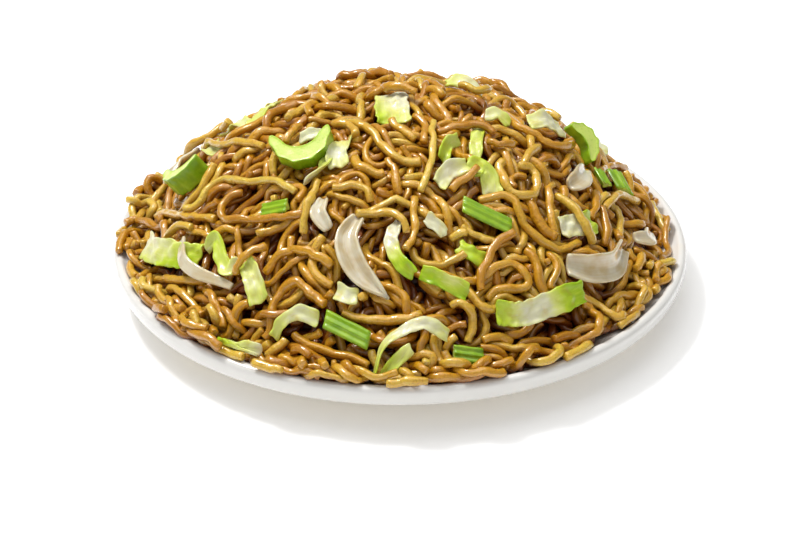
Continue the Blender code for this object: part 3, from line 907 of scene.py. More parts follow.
@dataclass(frozen=True)
class Strip:
    """A shred of cabbage or a petal of onion: a thin leaf on its node's route, leaning, cupped and torn.

    Lengths are in millimetres and leans in degrees. Values in a row are spread evenly along the route.
    Each of the ripples has its length along the leaf, its pitch across and its own start: they tear the
    edges, frill them, crumple the leaf and fray its ends.
    """

    RIPPLES = ((2.6, 1.3, 0), (7.0, 1.6, 9), (4.2, 1.4, 21), (1.5, 2.2, 33))
    NOISE_GAIN = 1.7

    node: str
    route: tuple[tuple[float, float], ...]
    width: float
    greens: tuple[float, ...] = (0.5, 0.25, 0.45)
    lifts: tuple[float, ...] = (2.2, 3.8, 2.4)
    leans: tuple[float, ...] = (8, -8, 8)
    across: float = 0.0
    cup: float = 0.7
    tapers: tuple[float, float] = (0.0, 0.0)
    slot: Slot = Slot.CABBAGE
    thickness: float = 0.9
    crumple: float = 0.94
    frill: float = 0.72
    tear: float = 0.13
    ragged: float = 1.04
    cell: float = 1.1

    def length(self) -> float:
        """Length of the route, from place to place."""
        return sum(math.dist(one, other) for one, other in zip(self.route, self.route[1:]))

    def build(self, form: HeapForm, material: bpy.types.Material) -> bpy.types.Object:
        """Bends a grid along the route and gives it a thickness.

        Args:
            form: the heap that the strip lies on.
            material: its finish.

        Returns:
            The dressed strip.
        """
        length = self.length()
        mesh = bmesh.new()
        bmesh.ops.create_grid(
            mesh, x_segments=max(6, round(length / self.cell)),
            y_segments=max(4, round(self.width / self.cell)), size=1.0,
        )
        uv = mesh.loops.layers.uv.new("UVMap")
        green = mesh.verts.layers.float.new("green")
        flat = np.array([vertex.co for vertex in mesh.verts])
        share, side = (flat[:, 0] + 1) / 2, flat[:, 1]
        places = self.fold(form, share, side)
        level = np.interp(share, np.linspace(0, 1, len(self.greens)), self.greens)
        level += self.across * side + 0.1 * side**2
        for vertex, place, value in zip(mesh.verts, places, level):
            vertex.co = place
            vertex[green] = value
        mesh.verts.index_update()
        for face in mesh.faces:
            for loop in face.loops:
                index = loop.vert.index
                loop[uv].uv = (share[index] * length, side[index] * self.width / 2)
        bmesh.ops.recalc_face_normals(mesh, faces=mesh.faces)
        bmesh.ops.solidify(mesh, geom=mesh.faces[:], thickness=self.thickness * MM)
        bmesh.ops.recalc_face_normals(mesh, faces=mesh.faces)
        piece = to_object(f"{self.node}_dressed", subdivided(mesh, 1), [material])
        return settle_in(piece, self.slot, self.node)

    def fold(self, form: HeapForm, share: np.ndarray, side: np.ndarray) -> np.ndarray:
        """Places the leaf's points.

        Args:
            form: the heap that the strip lies on.
            share: how far along the leaf each point is, from 0 to 1.
            side: how far across, from -1 to 1.

        Returns:
            The places, in metres.
        """
        seed = sum(map(ord, self.node)) % 97 * 3.7
        length = self.length()
        ripple = [
            [noise.noise((a * length / scale, b * pitch, seed + start)) for a, b in zip(share, side)]
            for scale, pitch, start in self.RIPPLES
        ]
        tear, frill, crumple, ragged = (np.array(values) * self.NOISE_GAIN for values in ripple)
        blunt = np.abs(2 * share - 1)
        taper = np.where(share < 0.5, *self.tapers)
        half = self.width / 2 * (1 - taper * blunt**2.2) * (1 + self.tear * np.abs(side) ** 3 * tear)
        frayed = blunt**12 * np.sign(share - 0.5) * ragged * self.ragged / length
        spread = np.clip(share + frayed, -0.1, 1.1)
        middle = along_route(self.route, spread)
        ahead = along_route(self.route, spread + 0.01) - along_route(self.route, spread - 0.01)
        ahead /= np.linalg.norm(ahead, axis=1, keepdims=True)
        lean = np.radians(np.interp(share, np.linspace(0, 1, len(self.leans)), self.leans))
        flat = middle + np.stack([-ahead[:, 1], ahead[:, 0]], 1) * (half * side * np.cos(lean))[:, None]
        lift = along_route(tuple((height, 0.0) for height in self.lifts), share)[:, 0]
        rise = lift + half * side * np.sin(lean) + half * np.abs(np.sin(lean)) * 0.6
        crumpled = self.crumple * (np.abs(crumple) * 2 - 0.4)
        rise += self.cup * side**2 + self.frill * side**2 * frill + crumpled
        x, y = flat[:, 0] * MM, flat[:, 1] * MM
        base = np.column_stack([x, y, form.lie(x, y)])
        return base + form.outward(x, y) * rise[:, None] * MM


@dataclass
class CelerySlice:
    """A slice of stalk, from its node: rounded ribs, soft rims and hollowed cut faces.

    Angles are in degrees: faces within flat_within count as one, and edges sharper than rib_from as
    ribs. The lump_height is in millimetres.
    """

    node: str
    levels: int = 2
    weld: float = 0.02 * MM
    flat_within: float = 1.5
    rib_from: float = 18
    lump: float = 3 * MM
    lump_height: float = 0.22
    rim: float = 0.9 * MM
    dish: float = 0.2 * MM
    rim_crease: float = 0.55
    rib_crease: float = 0.25
    groove: float = 0.55 * MM

    def deepen_ribs(self, cut: bmesh.types.BMFace) -> None:
        """Moves the valleys between the ribs inwards, all round one cut face.

        Args:
            cut: the cut face.
        """
        loops = list(cut.loops)
        bulges = [loop.is_convex for loop in loops]
        moves = []
        for index, loop in enumerate(loops):
            if not bulges[index] and bulges[index - 1] and bulges[(index + 1) % len(loops)]:
                before, after = loops[index - 1].vert.co, loops[(index + 1) % len(loops)].vert.co
                outward = (after - before).cross(cut.normal).normalized()
                moves.append((loop.vert, outward))
        for vertex, outward in moves:
            vertex.co -= outward * self.groove

    def build(self, skin: bpy.types.Material, flesh: bpy.types.Material) -> bpy.types.Object:
        """Refines the slice and parts its skin from its cut faces.

        Args:
            skin: the finish of the outside.
            flesh: the finish of the cut faces.

        Returns:
            The dressed slice.
        """
        mesh = bmesh.new()
        mesh.from_mesh(bpy.data.objects[self.node].data)
        bmesh.ops.remove_doubles(mesh, verts=mesh.verts, dist=self.weld)
        bmesh.ops.dissolve_limit(
            mesh, verts=mesh.verts, edges=mesh.edges, angle_limit=math.radians(self.flat_within)
        )
        cuts = sorted(mesh.faces, key=lambda face: len(face.verts))[-2:]
        for face in cuts:
            self.deepen_ribs(face)
        lengthwise = [edge for edge in mesh.edges if not any(face in cuts for face in edge.link_faces)]
        bmesh.ops.subdivide_edges(mesh, edges=lengthwise, cuts=2, use_grid_fill=True)
        cuts = sorted(mesh.faces, key=lambda face: len(face.verts))[-2:]
        sharpness = mesh.edges.layers.float.new("crease_edge")
        for edge in mesh.edges:
            if edge.calc_face_angle(0.0) > math.radians(self.rib_from):
                edge[sharpness] = self.rib_crease
        for face in cuts:
            for edge in face.edges:
                edge[sharpness] = self.rim_crease
        rind = mesh.verts.layers.float.new("rind")
        for vertex in mesh.verts:
            vertex[rind] = 1.0
        inset = bmesh.ops.inset_individual(mesh, faces=cuts, thickness=self.rim, depth=-self.dish)
        for face in cuts:
            for vertex in face.verts:
                vertex[rind] = 0.0
        for face in [*cuts, *inset["faces"]]:
            face.material_index = 1
        bmesh.ops.triangulate(mesh, faces=cuts)
        for face in mesh.faces:
            if all(vertex[rind] == 0.0 for vertex in face.verts):
                face.material_index = 1
        mesh = subdivided(mesh, self.levels)
        seed = Vector((sum(map(ord, self.node)) % 89, 0, 0))
        for vertex in mesh.verts:
            bulge = noise.noise(vertex.co / self.lump + seed)
            vertex.co += vertex.normal * bulge * self.lump_height * MM
        piece = to_object(f"{self.node}_dressed", mesh, [skin, flesh])
        return settle_in(piece, Slot.CELERY, self.node)


@dataclass
class Toppings:
    """Every vegetable on the heap, each in the place of its node."""

    form: HeapForm
    nodes: list[str]
    pieces: list[bpy.types.Object] = field(default_factory=list)

    LEAVES = (
        Strip("cabbage_top", ((-3, 9), (-3, -2), (-2, -13)), 12, (0.1, 0.2, 0.6), (3.5, 4.5, 3),
              across=-0.22),
        Strip("cabbage_bow_right", ((-21, -22), (-23, -30), (-22, -38)), 8, (0.35, 0.12, 0.3),
              (3, 4.5, 3)),
        Strip("cabbage_bow_left", ((-27, -31), (-29, -37), (-35, -42)), 5.6, (0.5, 0.4, 0.0), (3, 3, 2),
              (0, 45, 70)),
        Strip("cabbage_behind_celery", ((-38, -18), (-33, -18), (-28, -17)), 4.6, (0.1, 0.0, 0.3),
              leans=(30, 25, 10)),
        Strip("cabbage_left_upper", ((-74, 20), (-73, 11), (-70, 3)), 6, (0.5, 0.3, 0.35)),
        Strip("cabbage_left_top", ((-70, 30), (-63, 24), (-59, 17)), 5, (0.4, 0.3, 0.3)),
        Strip("cabbage_left_ridge", ((-57, 12), (-53, 20), (-48, 27)), 5, (0.5, 0.45, 0.3)),
        Strip("cabbage_peak", ((18, 22), (25, 23), (32, 20)), 6, (0.5, 0.15, 0.1), leans=(30, 30, 20)),
        Strip("cabbage_right_ridge", ((32, -2), (37, -1), (42, -3)), 4.6, (0.2, 0.3, 0.6),
              leans=(30, 20, 20)),
        Strip("cabbage_right_white", ((49, 6), (56, 9), (63, 13)), 8, (0.35, 0.05, 0.2), (3, 5, 3),
              (25, 35, 20)),
        Strip("cabbage_stick", ((30, -11), (29, -21), (28, -31)), 4.6, (0.55, 0.5, 0.45), cup=0.3),
        Strip("cabbage_curl", ((16, -34), (18, -27), (23, -23)), 5, (0.7, 0.55, 0.5), (1.5, 4, 3),
              (35, 50, 60)),
        Strip("cabbage_arch_left", ((14, -46), (18, -41), (25, -38)), 6, (0.3, 0.05, 0.45), (1.5, 4, 5),
              (10, 25, 20)),
        Strip("cabbage_arch_right", ((24, -38), (32, -38), (34, -46)), 7, (0.55, 0.6, 0.3), (5, 5, 1.5),
              (15, 10, 0)),
        Strip("cabbage_bit_centre", ((9, -61), (12, -63), (16, -66)), 5, (0.1, 0.0, 0.15),
              leans=(50, 30, 20)),
        Strip("cabbage_right", ((59, -49), (65, -44), (72, -37)), 7.4, (0.1, 0.1, 0.85), (3, 4, 3.5),
              (15, 10, 10)),
        Strip("cabbage_ribbon_left", ((-98, -22), (-92, -33), (-83, -43), (-74, -49)), 7.6,
              (0.2, 0.3, 0.65, 0.75), (2.5, 3.2, 3.5, 2), (10, 30, 20, 10), -0.22),
        Strip("cabbage_fold_left", ((-72, -49), (-67, -49), (-65, -56), (-63, -62), (-58, -63)), 4.6,
              (0.4, 0.65, 0.5, 0.25), (1.5, 5, 4, 3), (65, 25, 0, 45)),
        Strip("cabbage_drop_left", ((-56, -63), (-53, -70), (-51, -78)), 6.4, (0.6, 0.25, 0.5),
              (4, 4.5, 3), (20, 0, 0)),
        Strip("cabbage_hook", ((0, -61), (-3, -69), (0, -76), (5, -80)), 5, (0.05, 0.0, 0.85, 0.9),
              (2, 4, 4, 2.5), (30, 0, 20, 55)),
        Strip("cabbage_strip_centre", ((7, -79), (15, -81), (24, -83)), 5.2, (0.95, 0.85, 0.5, 0.95),
              (3, 4, 3), (35, 45, 25), -0.25),
        Strip("cabbage_bit_low", ((-23, -82), (-19, -84), (-15, -85)), 4.6, (0.25, 0.1, 0.3), cup=1.8),
        Strip("cabbage_curved_low", ((-45, -90), (-42, -87), (-36, -86), (-29, -89)), 4.2,
              (0.5, 0.4, 0.15, 0.35), (2, 4.5, 4, 2.5), (50, 35, 15, 10)),
        Strip("cabbage_rim", ((-67, -84), (-59, -89), (-50, -93)), 6.4, (0.85, 0.5, 0.05),
              leans=(20, 30, 20)),
        Strip("cabbage_fold_upper", ((17, -95), (9, -93), (1, -95), (-6, -99), (-9, -106)), 4.2,
              (0.35, 0.1, 0.1, 0.4, 0.6), (2.5, 5, 5, 3.5, 2), (0, 20, 35, 60, 70)),
        Strip("cabbage_fold_lower", ((-8, -107), (-2, -103), (4, -99)), 4.6, (0.55, 0.6, 0.3),
              (2, 4, 5), (20, 20, 30), tapers=(0.7, 0.2)),
        Strip("cabbage_strip_right", ((34, -86), (43, -84), (55, -77), (66, -68)), 6.6,
              (0.8, 0.55, 0.1, 0.1, 0.8, 0.95), (3, 3.5, 4.5, 4), (25, 30, 15, 35)),
        Strip("cabbage_deep", ((21, -68), (26, -70), (31, -71)), 6, (0.6, 0.8, 0.7), (1.5, 3, 1.5),
              crumple=1.2),
        Strip("cabbage_back_left", ((-58, 62), (-52, 68), (-50, 78)), 7, (0.2, 0.3, 0.8)),
        Strip("cabbage_back_low", ((-14, 96), (-4, 99), (7, 98)), 6, (0.7, 0.2, 0.3)),
        Strip("cabbage_back_middle", ((0, 76), (9, 71), (17, 73), (22, 79)), 6, (0.1, 0.2, 0.5, 0.8),
              (2, 5, 4, 2)),
        Strip("cabbage_back_right", ((70, 46), (77, 36), (80, 26)), 7, (0.6, 0.1, 0.2), (2, 5, 2)),
    )
    PETALS = (
        Strip("onion_petal_left", ((-15, -59), (-19, -67), (-15, -77), (-4, -86)), 9.4,
              lifts=(2, 4, 3.5, 2), cup=2.4, tapers=(0.35, 0.9)),
        Strip("onion_arc_left", ((-81, -38), (-79, -49), (-73, -58), (-62, -68)), 3.8, (0.6,),
              (5, 6.5, 5, 2), (20, 20, 10, 0), cup=0.2, tapers=(0.4, 0.5)),
        Strip("onion_petal_right", ((61, -62), (70, -59), (79, -51), (84, -38)), 7.6, cup=2.2,
              tapers=(0.3, 0.5), leans=(25, 30, 30)),
        Strip("onion_curl_upper", ((-28, -50), (-29.5, -56), (-26, -62)), 4.6, cup=1.6,
              tapers=(0.6, 0.6)),
        Strip("onion_bit_right", ((90, -27), (95, -22), (97, -14)), 4.6, cup=1, tapers=(0.5, 0.5)),
        Strip("onion_right_upper", ((64, -25), (68, -19), (71, -9)), 6, cup=1.6, tapers=(0.6, 0.6)),
        Strip("onion_left_edge", ((-93, 22), (-89, 31), (-82, 38)), 6.5, cup=1.6, tapers=(0.6, 0.6)),
        Strip("onion_back_left", ((-15, 82), (-8, 85), (0, 86)), 7, cup=2, tapers=(0.7, 0.7)),
        Strip("onion_back_right", ((52, 90), (62, 81), (70, 70)), 7, cup=2, tapers=(0.7, 0.7)),
    )

    def build(self) -> list[bpy.types.Object]:
        """Dresses every topping.

        Returns:
            The pieces.
        """
        leaf_finish, petal_finish = CabbageLeaf().material(), OnionPetal().material()
        stalk = CeleryStalk()
        skin, flesh = stalk.skin_material(), stalk.flesh_material()
        for node in self.nodes:
            if node.startswith("celery_"):
                self.pieces.append(CelerySlice(node).build(skin, flesh))
        for leaf in self.LEAVES:
            self.pieces.append(leaf.build(self.form, leaf_finish))
        for petal in self.PETALS:
            smooth = replace(
                petal, slot=Slot.ONION, thickness=1.5, crumple=0.1, frill=0.1, tear=0.02, ragged=0.2
            )
            self.pieces.append(smooth.build(self.form, petal_finish))
        return self.pieces

    def tree(self) -> BVHTree:
        """Gathers the faces of all the toppings.

        Returns:
            One search tree over them.
        """
        points, faces = [], []
        for piece in self.pieces:
            start = len(points)
            points.extend(vertex.co.copy() for vertex in piece.data.vertices)
            faces.extend([start + number for number in face.vertices] for face in piece.data.polygons)
        return BVHTree.FromPolygons(points, faces)

    def surface_points(self, gap: float = 1.2 * MM) -> np.ndarray:
        """Points spread over all the toppings, which the noodles settle against.

        Args:
            gap: how far apart they are at least, roughly.

        Returns:
            The points.
        """
        found = []
        for piece in self.pieces:
            places = np.empty(len(piece.data.vertices) * 3)
            piece.data.vertices.foreach_get("co", places)
            places = places.reshape(-1, 3)
            _, keep = np.unique(np.round(places / gap).astype(int), axis=0, return_index=True)
            found.append(places[keep])
        return np.concatenate(found)


@dataclass
class Noodle:
    """One noodle: the points down its middle, its half thickness, how brown it is and how it settles.

    It stays its room away from the lip, and gives way to others by its share of give.
    """

    points: np.ndarray
    radius: float
    tone: float
    room: float
    give: float = 1.0


def close_pairs(points: np.ndarray, reach: float, moving: int) -> tuple[np.ndarray, np.ndarray]:
    """Lists the pairs of points that are near each other, by sorting them into cubes.

    Args:
        points: all points, the moving ones first.
        reach: how near the two of a pair are at most.
        moving: how many points move; a pair has at least one of them.

    Returns:
        The numbers of the first and of the second point of each pair.
    """
    cells = np.floor((points - points.min(0)) / reach).astype(np.int64) + 1
    size = cells.max(0) + 2
    key = (cells[:, 0] * size[1] + cells[:, 1]) * size[2] + cells[:, 2]
    order = np.argsort(key, kind="stable")
    ranked = key[order]
    count = len(points)
    firsts, seconds = [], []
    for dx in (-1, 0, 1):
        for dy in (-1, 0, 1):
            for dz in (-1, 0, 1):
                shift = (dx * size[1] + dy) * size[2] + dz
                if shift < 0:
                    continue
                low = np.searchsorted(ranked, ranked + shift, "left")
                high = np.searchsorted(ranked, ranked + shift, "right")
                if shift == 0:
                    low = np.arange(count) + 1
                number = np.maximum(high - low, 0)
                first = np.repeat(np.arange(count), number)
                start = np.repeat(np.cumsum(number) - number, number)
                second = np.repeat(low, number) + np.arange(len(first)) - start
                first, second = order[first], order[second]
                keep = np.minimum(first, second) < moving
                first, second = first[keep], second[keep]
                near = ((points[first] - points[second]) ** 2).sum(1) < reach * reach
                firsts.append(first[near])
                seconds.append(second[near])
    return np.concatenate(firsts), np.concatenate(seconds)


def is_inside(tree: BVHTree, point: Vector) -> bool:
    """Whether a place is inside a closed form: a ray straight up leaves it an odd number of times.

    Args:
        tree: the forms' faces.
        point: the place.

    Returns:
        True where it is inside.
    """
    most, skip = 12, 0.01 * MM
    up, crossings = Vector((0, 0, 1)), 0
    spot = tree.ray_cast(point, up)[0]
    while spot is not None and crossings < most:
        crossings += 1
        spot = tree.ray_cast(spot + up * skip, up)[0]
    return crossings % 2 == 1


def steer(
    heading: np.ndarray, bearing: np.ndarray, press: np.ndarray, slack: float, strength: float
) -> np.ndarray:
    """How much noodles turn away from a bearing at a step.

    Args:
        heading: which way they run.
        bearing: the way that they turn from.
        press: how urgent it is, from 0 up.
        slack: how far past a right angle it still acts, as a cosine.
        strength: the turn at full urgency.

    Returns:
        The turn in radians.
    """
    off = (heading - bearing + math.pi) % math.tau - math.pi
    return np.where(off >= 0, 1, -1) * press * np.clip(np.cos(off) + slack, 0, 1) * strength


@dataclass
class NoodleTangle:
    """The noodles that show: laid in loose layers over the heap, then settled against each other.

    Most pairs of numbers are ranges that chance draws from. A noodle is made of runs, each straight,
    swaying or hooked. Starts at the rim, swings, waves, bends, runs, laid_radii and end_dip are in
    millimetres, and other lengths in metres.
    """

    form: HeapForm
    seed: int = 7
    count: int = 680
    start_reach: float = 0.985
    start_spread: float = 3 * MM
    rim_starts: tuple[float, float] = (5, 26)
    rim_heading: float = 0.6
    swings: tuple[float, float] = (1.2, 3.8)
    waves: tuple[float, float] = (26, 64)
    straight_bends: tuple[float, float] = (50, 140)
    sway_bends: tuple[float, float] = (10, 24)
    hook_bends: tuple[float, float] = (4.0, 7.8)
    straight_share: float = 0.24
    unhooked_share: float = 0.58
    long_runs: tuple[float, float] = (7, 24)
    hook_runs: tuple[float, float] = (6, 18)
    limber: float = 0.45
    turn_width: float = 5 * MM
    clear_width: float = 7 * MM
    passes_under: float = -3.5 * MM
    lengths: tuple[float, float] = (26 * MM, 110 * MM)
    spacing: float = 2.5 * MM
    radii: tuple[float, float] = (1.25 * MM, 1.72 * MM)
    shell_depth: float = 8.5 * MM
    shell_rise: float = 2.6 * MM
    edge_room: float = 5 * MM
    rounds: int = 200
    pull: float = 0.07 * MM
    rim_noodles: int = 150
    shortest: float = 14 * MM
    shoulder: float = 42 * MM
    shoulder_width: float = 26 * MM
    shoulder_drop: float = 3.5 * MM
    wobble: float = 0.21 * MM
    ring_gap: float = 1.5 * MM
    sides: int = 12
    square: float = 0.085
    pieces_wanted: int = 5
    topping_skin: float = 0.35 * MM
    # painted shade on the sides of a noodle that face down, added as extra depth
    underside_shade: float = 3.2 * MM
    cut_at_lip: float = 0.35
    over_lip: float = -1.5 * MM
    rim_margin: float = 1.5 * MM
    front_from: float = -85
    laid_steps: int = 24
    laid_radii: tuple[float, float] = (1.5, 1.68)
    laid_give: float = 0.2
    end_dip: float = 1.5
    least_lift: float = 0.15
    pull_ends: float = 1.6
    pair_turns: int = 6
    pair_room: float = 1.0 * MM
    own_neighbours: int = 3
    push_strength: float = 1.35
    push_turns: int = 25
    swell: float = 0.18
    underside: float = 0.6
    blunt_ends: tuple[float, float] = (0.8, 0.97)
    noodles: list[Noodle] = field(default_factory=list)

    # The noodles that stand out: height over the bed, then the places passed, in millimetres.
    LAID = (
        (6, (-22, -62), (-18, -59), (-11, -58), (-4, -59), (1, -63), (3, -67)),
        (6, (5, -53), (5, -60), (4, -67), (2, -72), (-1, -74)),
        (5, (-14, -58), (-8, -56), (-2, -53), (3, -54), (8, -58), (12, -60), (17, -64)),
        (6, (-31, -40), (-31, -47), (-32, -54), (-36, -61)),
        (5, (-50, -68), (-45, -65), (-41, -64), (-36, -66), (-31, -69), (-24, -74)),
        (4, (-28, -64), (-32, -68), (-32, -73), (-28, -78), (-24, -80)),
        (5, (-49, -89), (-47, -82), (-42, -77), (-37, -76), (-33, -80), (-29, -84), (-26, -87)),
        (4, (-40, -80), (-34, -85), (-27, -88), (-18, -89), (-9, -91), (1, -91), (9, -91)),
        (5, (-13, -90), (-15, -86), (-12, -83), (-8, -84), (-4, -87)),
        (4, (40, -60), (32, -64), (25, -69), (18, -74), (11, -76), (6, -74), (4, -70)),
        (4, (2, -76), (10, -78), (20, -79), (28, -78), (34, -73), (40, -69), (45, -70), (47, -74),
         (41, -76), (35, -79), (33, -84)),
        (6, (28, -81), (29, -77), (32, -72), (34, -66), (38, -62), (42, -58)),
        (6, (18, -87), (22, -85), (25, -87), (26, -91), (24, -96)),
        (5, (41, -91), (36, -91), (31, -94), (26, -98), (21, -101)),
        (4, (3, -46), (5, -44), (8, -42)),
        (4, (19, -65), (22, -63), (26, -62)),
        (6, (-22, -11), (-14, -16), (-10, -23), (-7, -30), (-2, -36), (3, -37), (9, -37)),
        (4, (-17, -34), (-15, -39), (-10, -42), (-5, -42)),
        (5, (-4, -37), (-3, -43), (-1, -49), (-1, -52)),
        (6, (-24, -49), (-19, -47), (-14, -48), (-11, -50), (-11, -55)),
        (7, (13, -14), (12, -22), (12, -30), (11, -38), (9, -46), (7, -52)),
        (5, (-2, -13), (-2, -9), (3, -7), (8, -10), (10, -16), (9, -22), (11, -28)),
        (5, (-3, -12), (-2, -18), (1, -23), (6, -27)),
        (7, (14, -19), (20, -17), (26, -15), (31, -14), (35, -17)),
        (5, (27, -50), (34, -48), (39, -46), (42, -49), (44, -54), (49, -57), (55, -58), (61, -56),
         (65, -51), (67, -47)),
        (4, (47, -43), (49, -48), (53, -52), (59, -55)),
        (5, (54, -34), (55, -40), (56, -46), (58, -52)),
        (6, (39, -30), (37, -33), (38, -37), (38, -41), (42, -44), (46, -44), (49, -41), (50, -35),
         (50, -30), (47, -28), (44, -30)),
        (4, (46, -33), (42, -35), (41, -39), (44, -41)),
        (5, (53, -12), (50, -19), (47, -25), (45, -30)),
        (6, (38, 12), (41, 4), (45, -3), (51, -7), (57, -9), (62, -6), (66, 1), (69, 8)),
        (5, (55, -38), (60, -41), (66, -39), (71, -34), (74, -26), (76, -17)),
        (4, (64, -20), (62, -28), (63, -37)),
        (5, (79, -22), (82, -14), (86, -5), (92, 3), (96, 13), (98, 22)),
        (5, (76, -24), (78, -33), (78, -43)),
        (4, (104, -24), (99, -28), (93, -34), (90, -41), (88, -45)),
        (4, (104, 20), (107, 12), (109, 3)),
        (6, (-81, -25), (-76, -25), (-72, -20), (-68, -18), (-63, -21), (-58, -27), (-50, -32),
         (-43, -38), (-38, -44)),
        (6, (-60, -29), (-65, -30), (-67, -35), (-65, -41), (-60, -44), (-51, -48), (-42, -52),
         (-35, -54)),
        (6, (-77, 18), (-70, 7), (-63, -2), (-56, -9), (-50, -14)),
        (4, (-97, -4), (-90, -13), (-84, -22), (-77, -30), (-69, -38)),
        (4, (-99, -3), (-101, -10), (-99, -17), (-93, -24), (-86, -33)),
        (5, (-83, -18), (-78, -17), (-75, -16), (-72, -11), (-67, -9)),
        (4, (-49, -49), (-50, -44), (-47, -42), (-45, -44)),
        (4, (-104, -20), (-107, -23), (-106, -30), (-103, -37)),
        (4, (-98, -42), (-93, -43), (-87, -48), (-80, -54), (-74, -58)),
        (5, (-73, -73), (-77, -68), (-81, -70), (-82, -76), (-77, -82), (-71, -87)),
        (6, (-75, -77), (-70, -80), (-64, -81), (-61, -77), (-56, -76), (-52, -77)),
        (5, (-59, -72), (-62, -79), (-60, -86), (-55, -88), (-50, -85)),
        (4, (-88, -50), (-83, -57), (-80, -64), (-77, -70)),
        (4, (-54, -101), (-48, -103), (-42, -106)),
        (4, (-48, -94), (-44, -92), (-40, -90)),
        (4, (-40, -91), (-34, -95), (-27, -98), (-18, -101), (-10, -105)),
        (5, (-41, -92), (-35, -97), (-29, -102), (-27, -107)),
        (4, (-25, -101), (-24, -108), (-19, -113), (-13, -111), (-12, -103)),
        (5, (0, -100), (5, -102), (11, -101), (12, -104), (6, -106)),
        (4, (15, -98), (18, -96), (21, -94)),
        (4, (21, -106), (24, -112), (31, -111), (35, -106), (33, -100)),
        (5, (43, -96), (46, -91), (51, -88), (57, -86), (61, -88), (62, -93)),
        (5, (60, -86), (66, -81), (72, -78), (77, -75)),
        (4, (72, -79), (78, -72), (83, -66), (88, -58)),
        (4, (45, -64), (49, -67), (50, -72), (55, -75)),
        (4, (53, -62), (56, -64), (55, -70), (52, -74)),
        (11, (-5, 8), (0, 6), (6, 3)),
        (8, (10, 12), (14, 9), (17, 5)),
        (6, (-48, 22), (-40, 19), (-31, 17)),
        (6, (-70, 28), (-64, 22), (-58, 18)),
        (11, (22, 14), (27, 10), (31, 12), (33, 16)),
        (9, (55, 26), (59, 23), (63, 19)),
        (7, (-105, 14), (-100, 22), (-93, 27)),
        (8, (-99, 34), (-93, 37), (-86, 41)),
        (7, (-88, 40), (-80, 36), (-74, 37), (-68, 44)),
        (7, (-108, -2), (-109, 7), (-106, 15), (-101, 21)),
        (7, (84, 36), (90, 33), (95, 36), (97, 42)),
        (6, (100, 22), (105, 27), (104, 33)),
        (8, (-38, -11), (-40, -15), (-43, -21)),
        (8, (-26, -13), (-21, -14), (-17, -19), (-16, -26)),
        (8, (-91, -33), (-88, -30), (-83, -31), (-77, -37)),
        (8, (-60, -66), (-54, -63), (-47, -61)),
        (7, (19, -48), (22, -44), (27, -41), (30, -35)),
        (8, (33, -22), (37, -24), (42, -21)),
        (7, (58, -34), (62, -38), (66, -44), (72, -48)),
        (6, (14, -100), (19, -103), (25, -103)),
        (5, (30, -103), (37, -104), (43, -101)),
        (-2, (-7, -99), (0, -103), (7, -103), (14, -100)),
        (-2, (-3, -95), (3, -100), (7, -106), (9, -112)),
        (-1, (-12, -104), (-5, -110), (2, -111), (9, -108)),
        (-3, (3, -93), (7, -99), (11, -104), (17, -107)),
        (-1, (2, -98), (8, -97), (12, -92)),
        (-2, (-52, -76), (-50, -83), (-54, -90), (-60, -94)),
        (-2, (-62, -82), (-56, -85), (-49, -84)),
        (4, (11, -98), (9, -103), (12, -108)),
        (3, (1, -108), (-1, -112), (5, -114)),
        (2, (5, -104), (11, -104), (17, -107)),
        (3, (-3, -107), (3, -106), (8, -110), (14, -113)),
        (4, (-64, -84), (-58, -86), (-52, -90), (-47, -88)),
        (3, (-60, -90), (-54, -88), (-50, -84)),
        (4, (14, -96), (13, -102), (16, -108), (22, -109), (24, -104)),
        (3, (-4, -112), (4, -114), (12, -114)),
        (3, (-12, -112), (-7, -108), (-1, -108), (3, -111)),
        (4, (-15, -95), (-10, -100), (-8, -108)),
        (4, (14, -97), (13, -102), (18, -105), (23, -101)),
        (4, (-58, -80), (-52, -84), (-45, -83), (-38, -86)),
        (4, (-50, -75), (-46, -80), (-40, -81), (-34, -77)),
        (4, (-38, -93), (-32, -93), (-27, -90), (-21, -86)),
        (3, (-28, -96), (-22, -93), (-16, -94), (-10, -97)),
        (4, (-64, -70), (-60, -75), (-54, -76), (-47, -79)),
        (4, (-47, -92), (-41, -97), (-36, -103), (-33, -109)),
        (4, (-38, -94), (-33, -100), (-29, -106), (-26, -112)),
        (4, (-81, -70), (-77, -77), (-75, -85)),
        (4, (60, -95), (67, -90), (70, -83)),
        (5, (45, -95), (49, -101), (55, -101), (60, -97), (58, -90)),
        (5, (-72, -80), (-68, -86), (-62, -91), (-58, -98)),
        (5, (-74, -82), (-67, -87), (-62, -92)),
        (5, (-96, -52), (-91, -58), (-87, -66), (-82, -72)),
        (5, (94, -50), (90, -56), (84, -60), (80, -68)),
        (5, (104, -32), (100, -37), (98, -45)),
    )

    skyline: np.ndarray = field(default_factory=lambda: np.zeros((2, 2)))

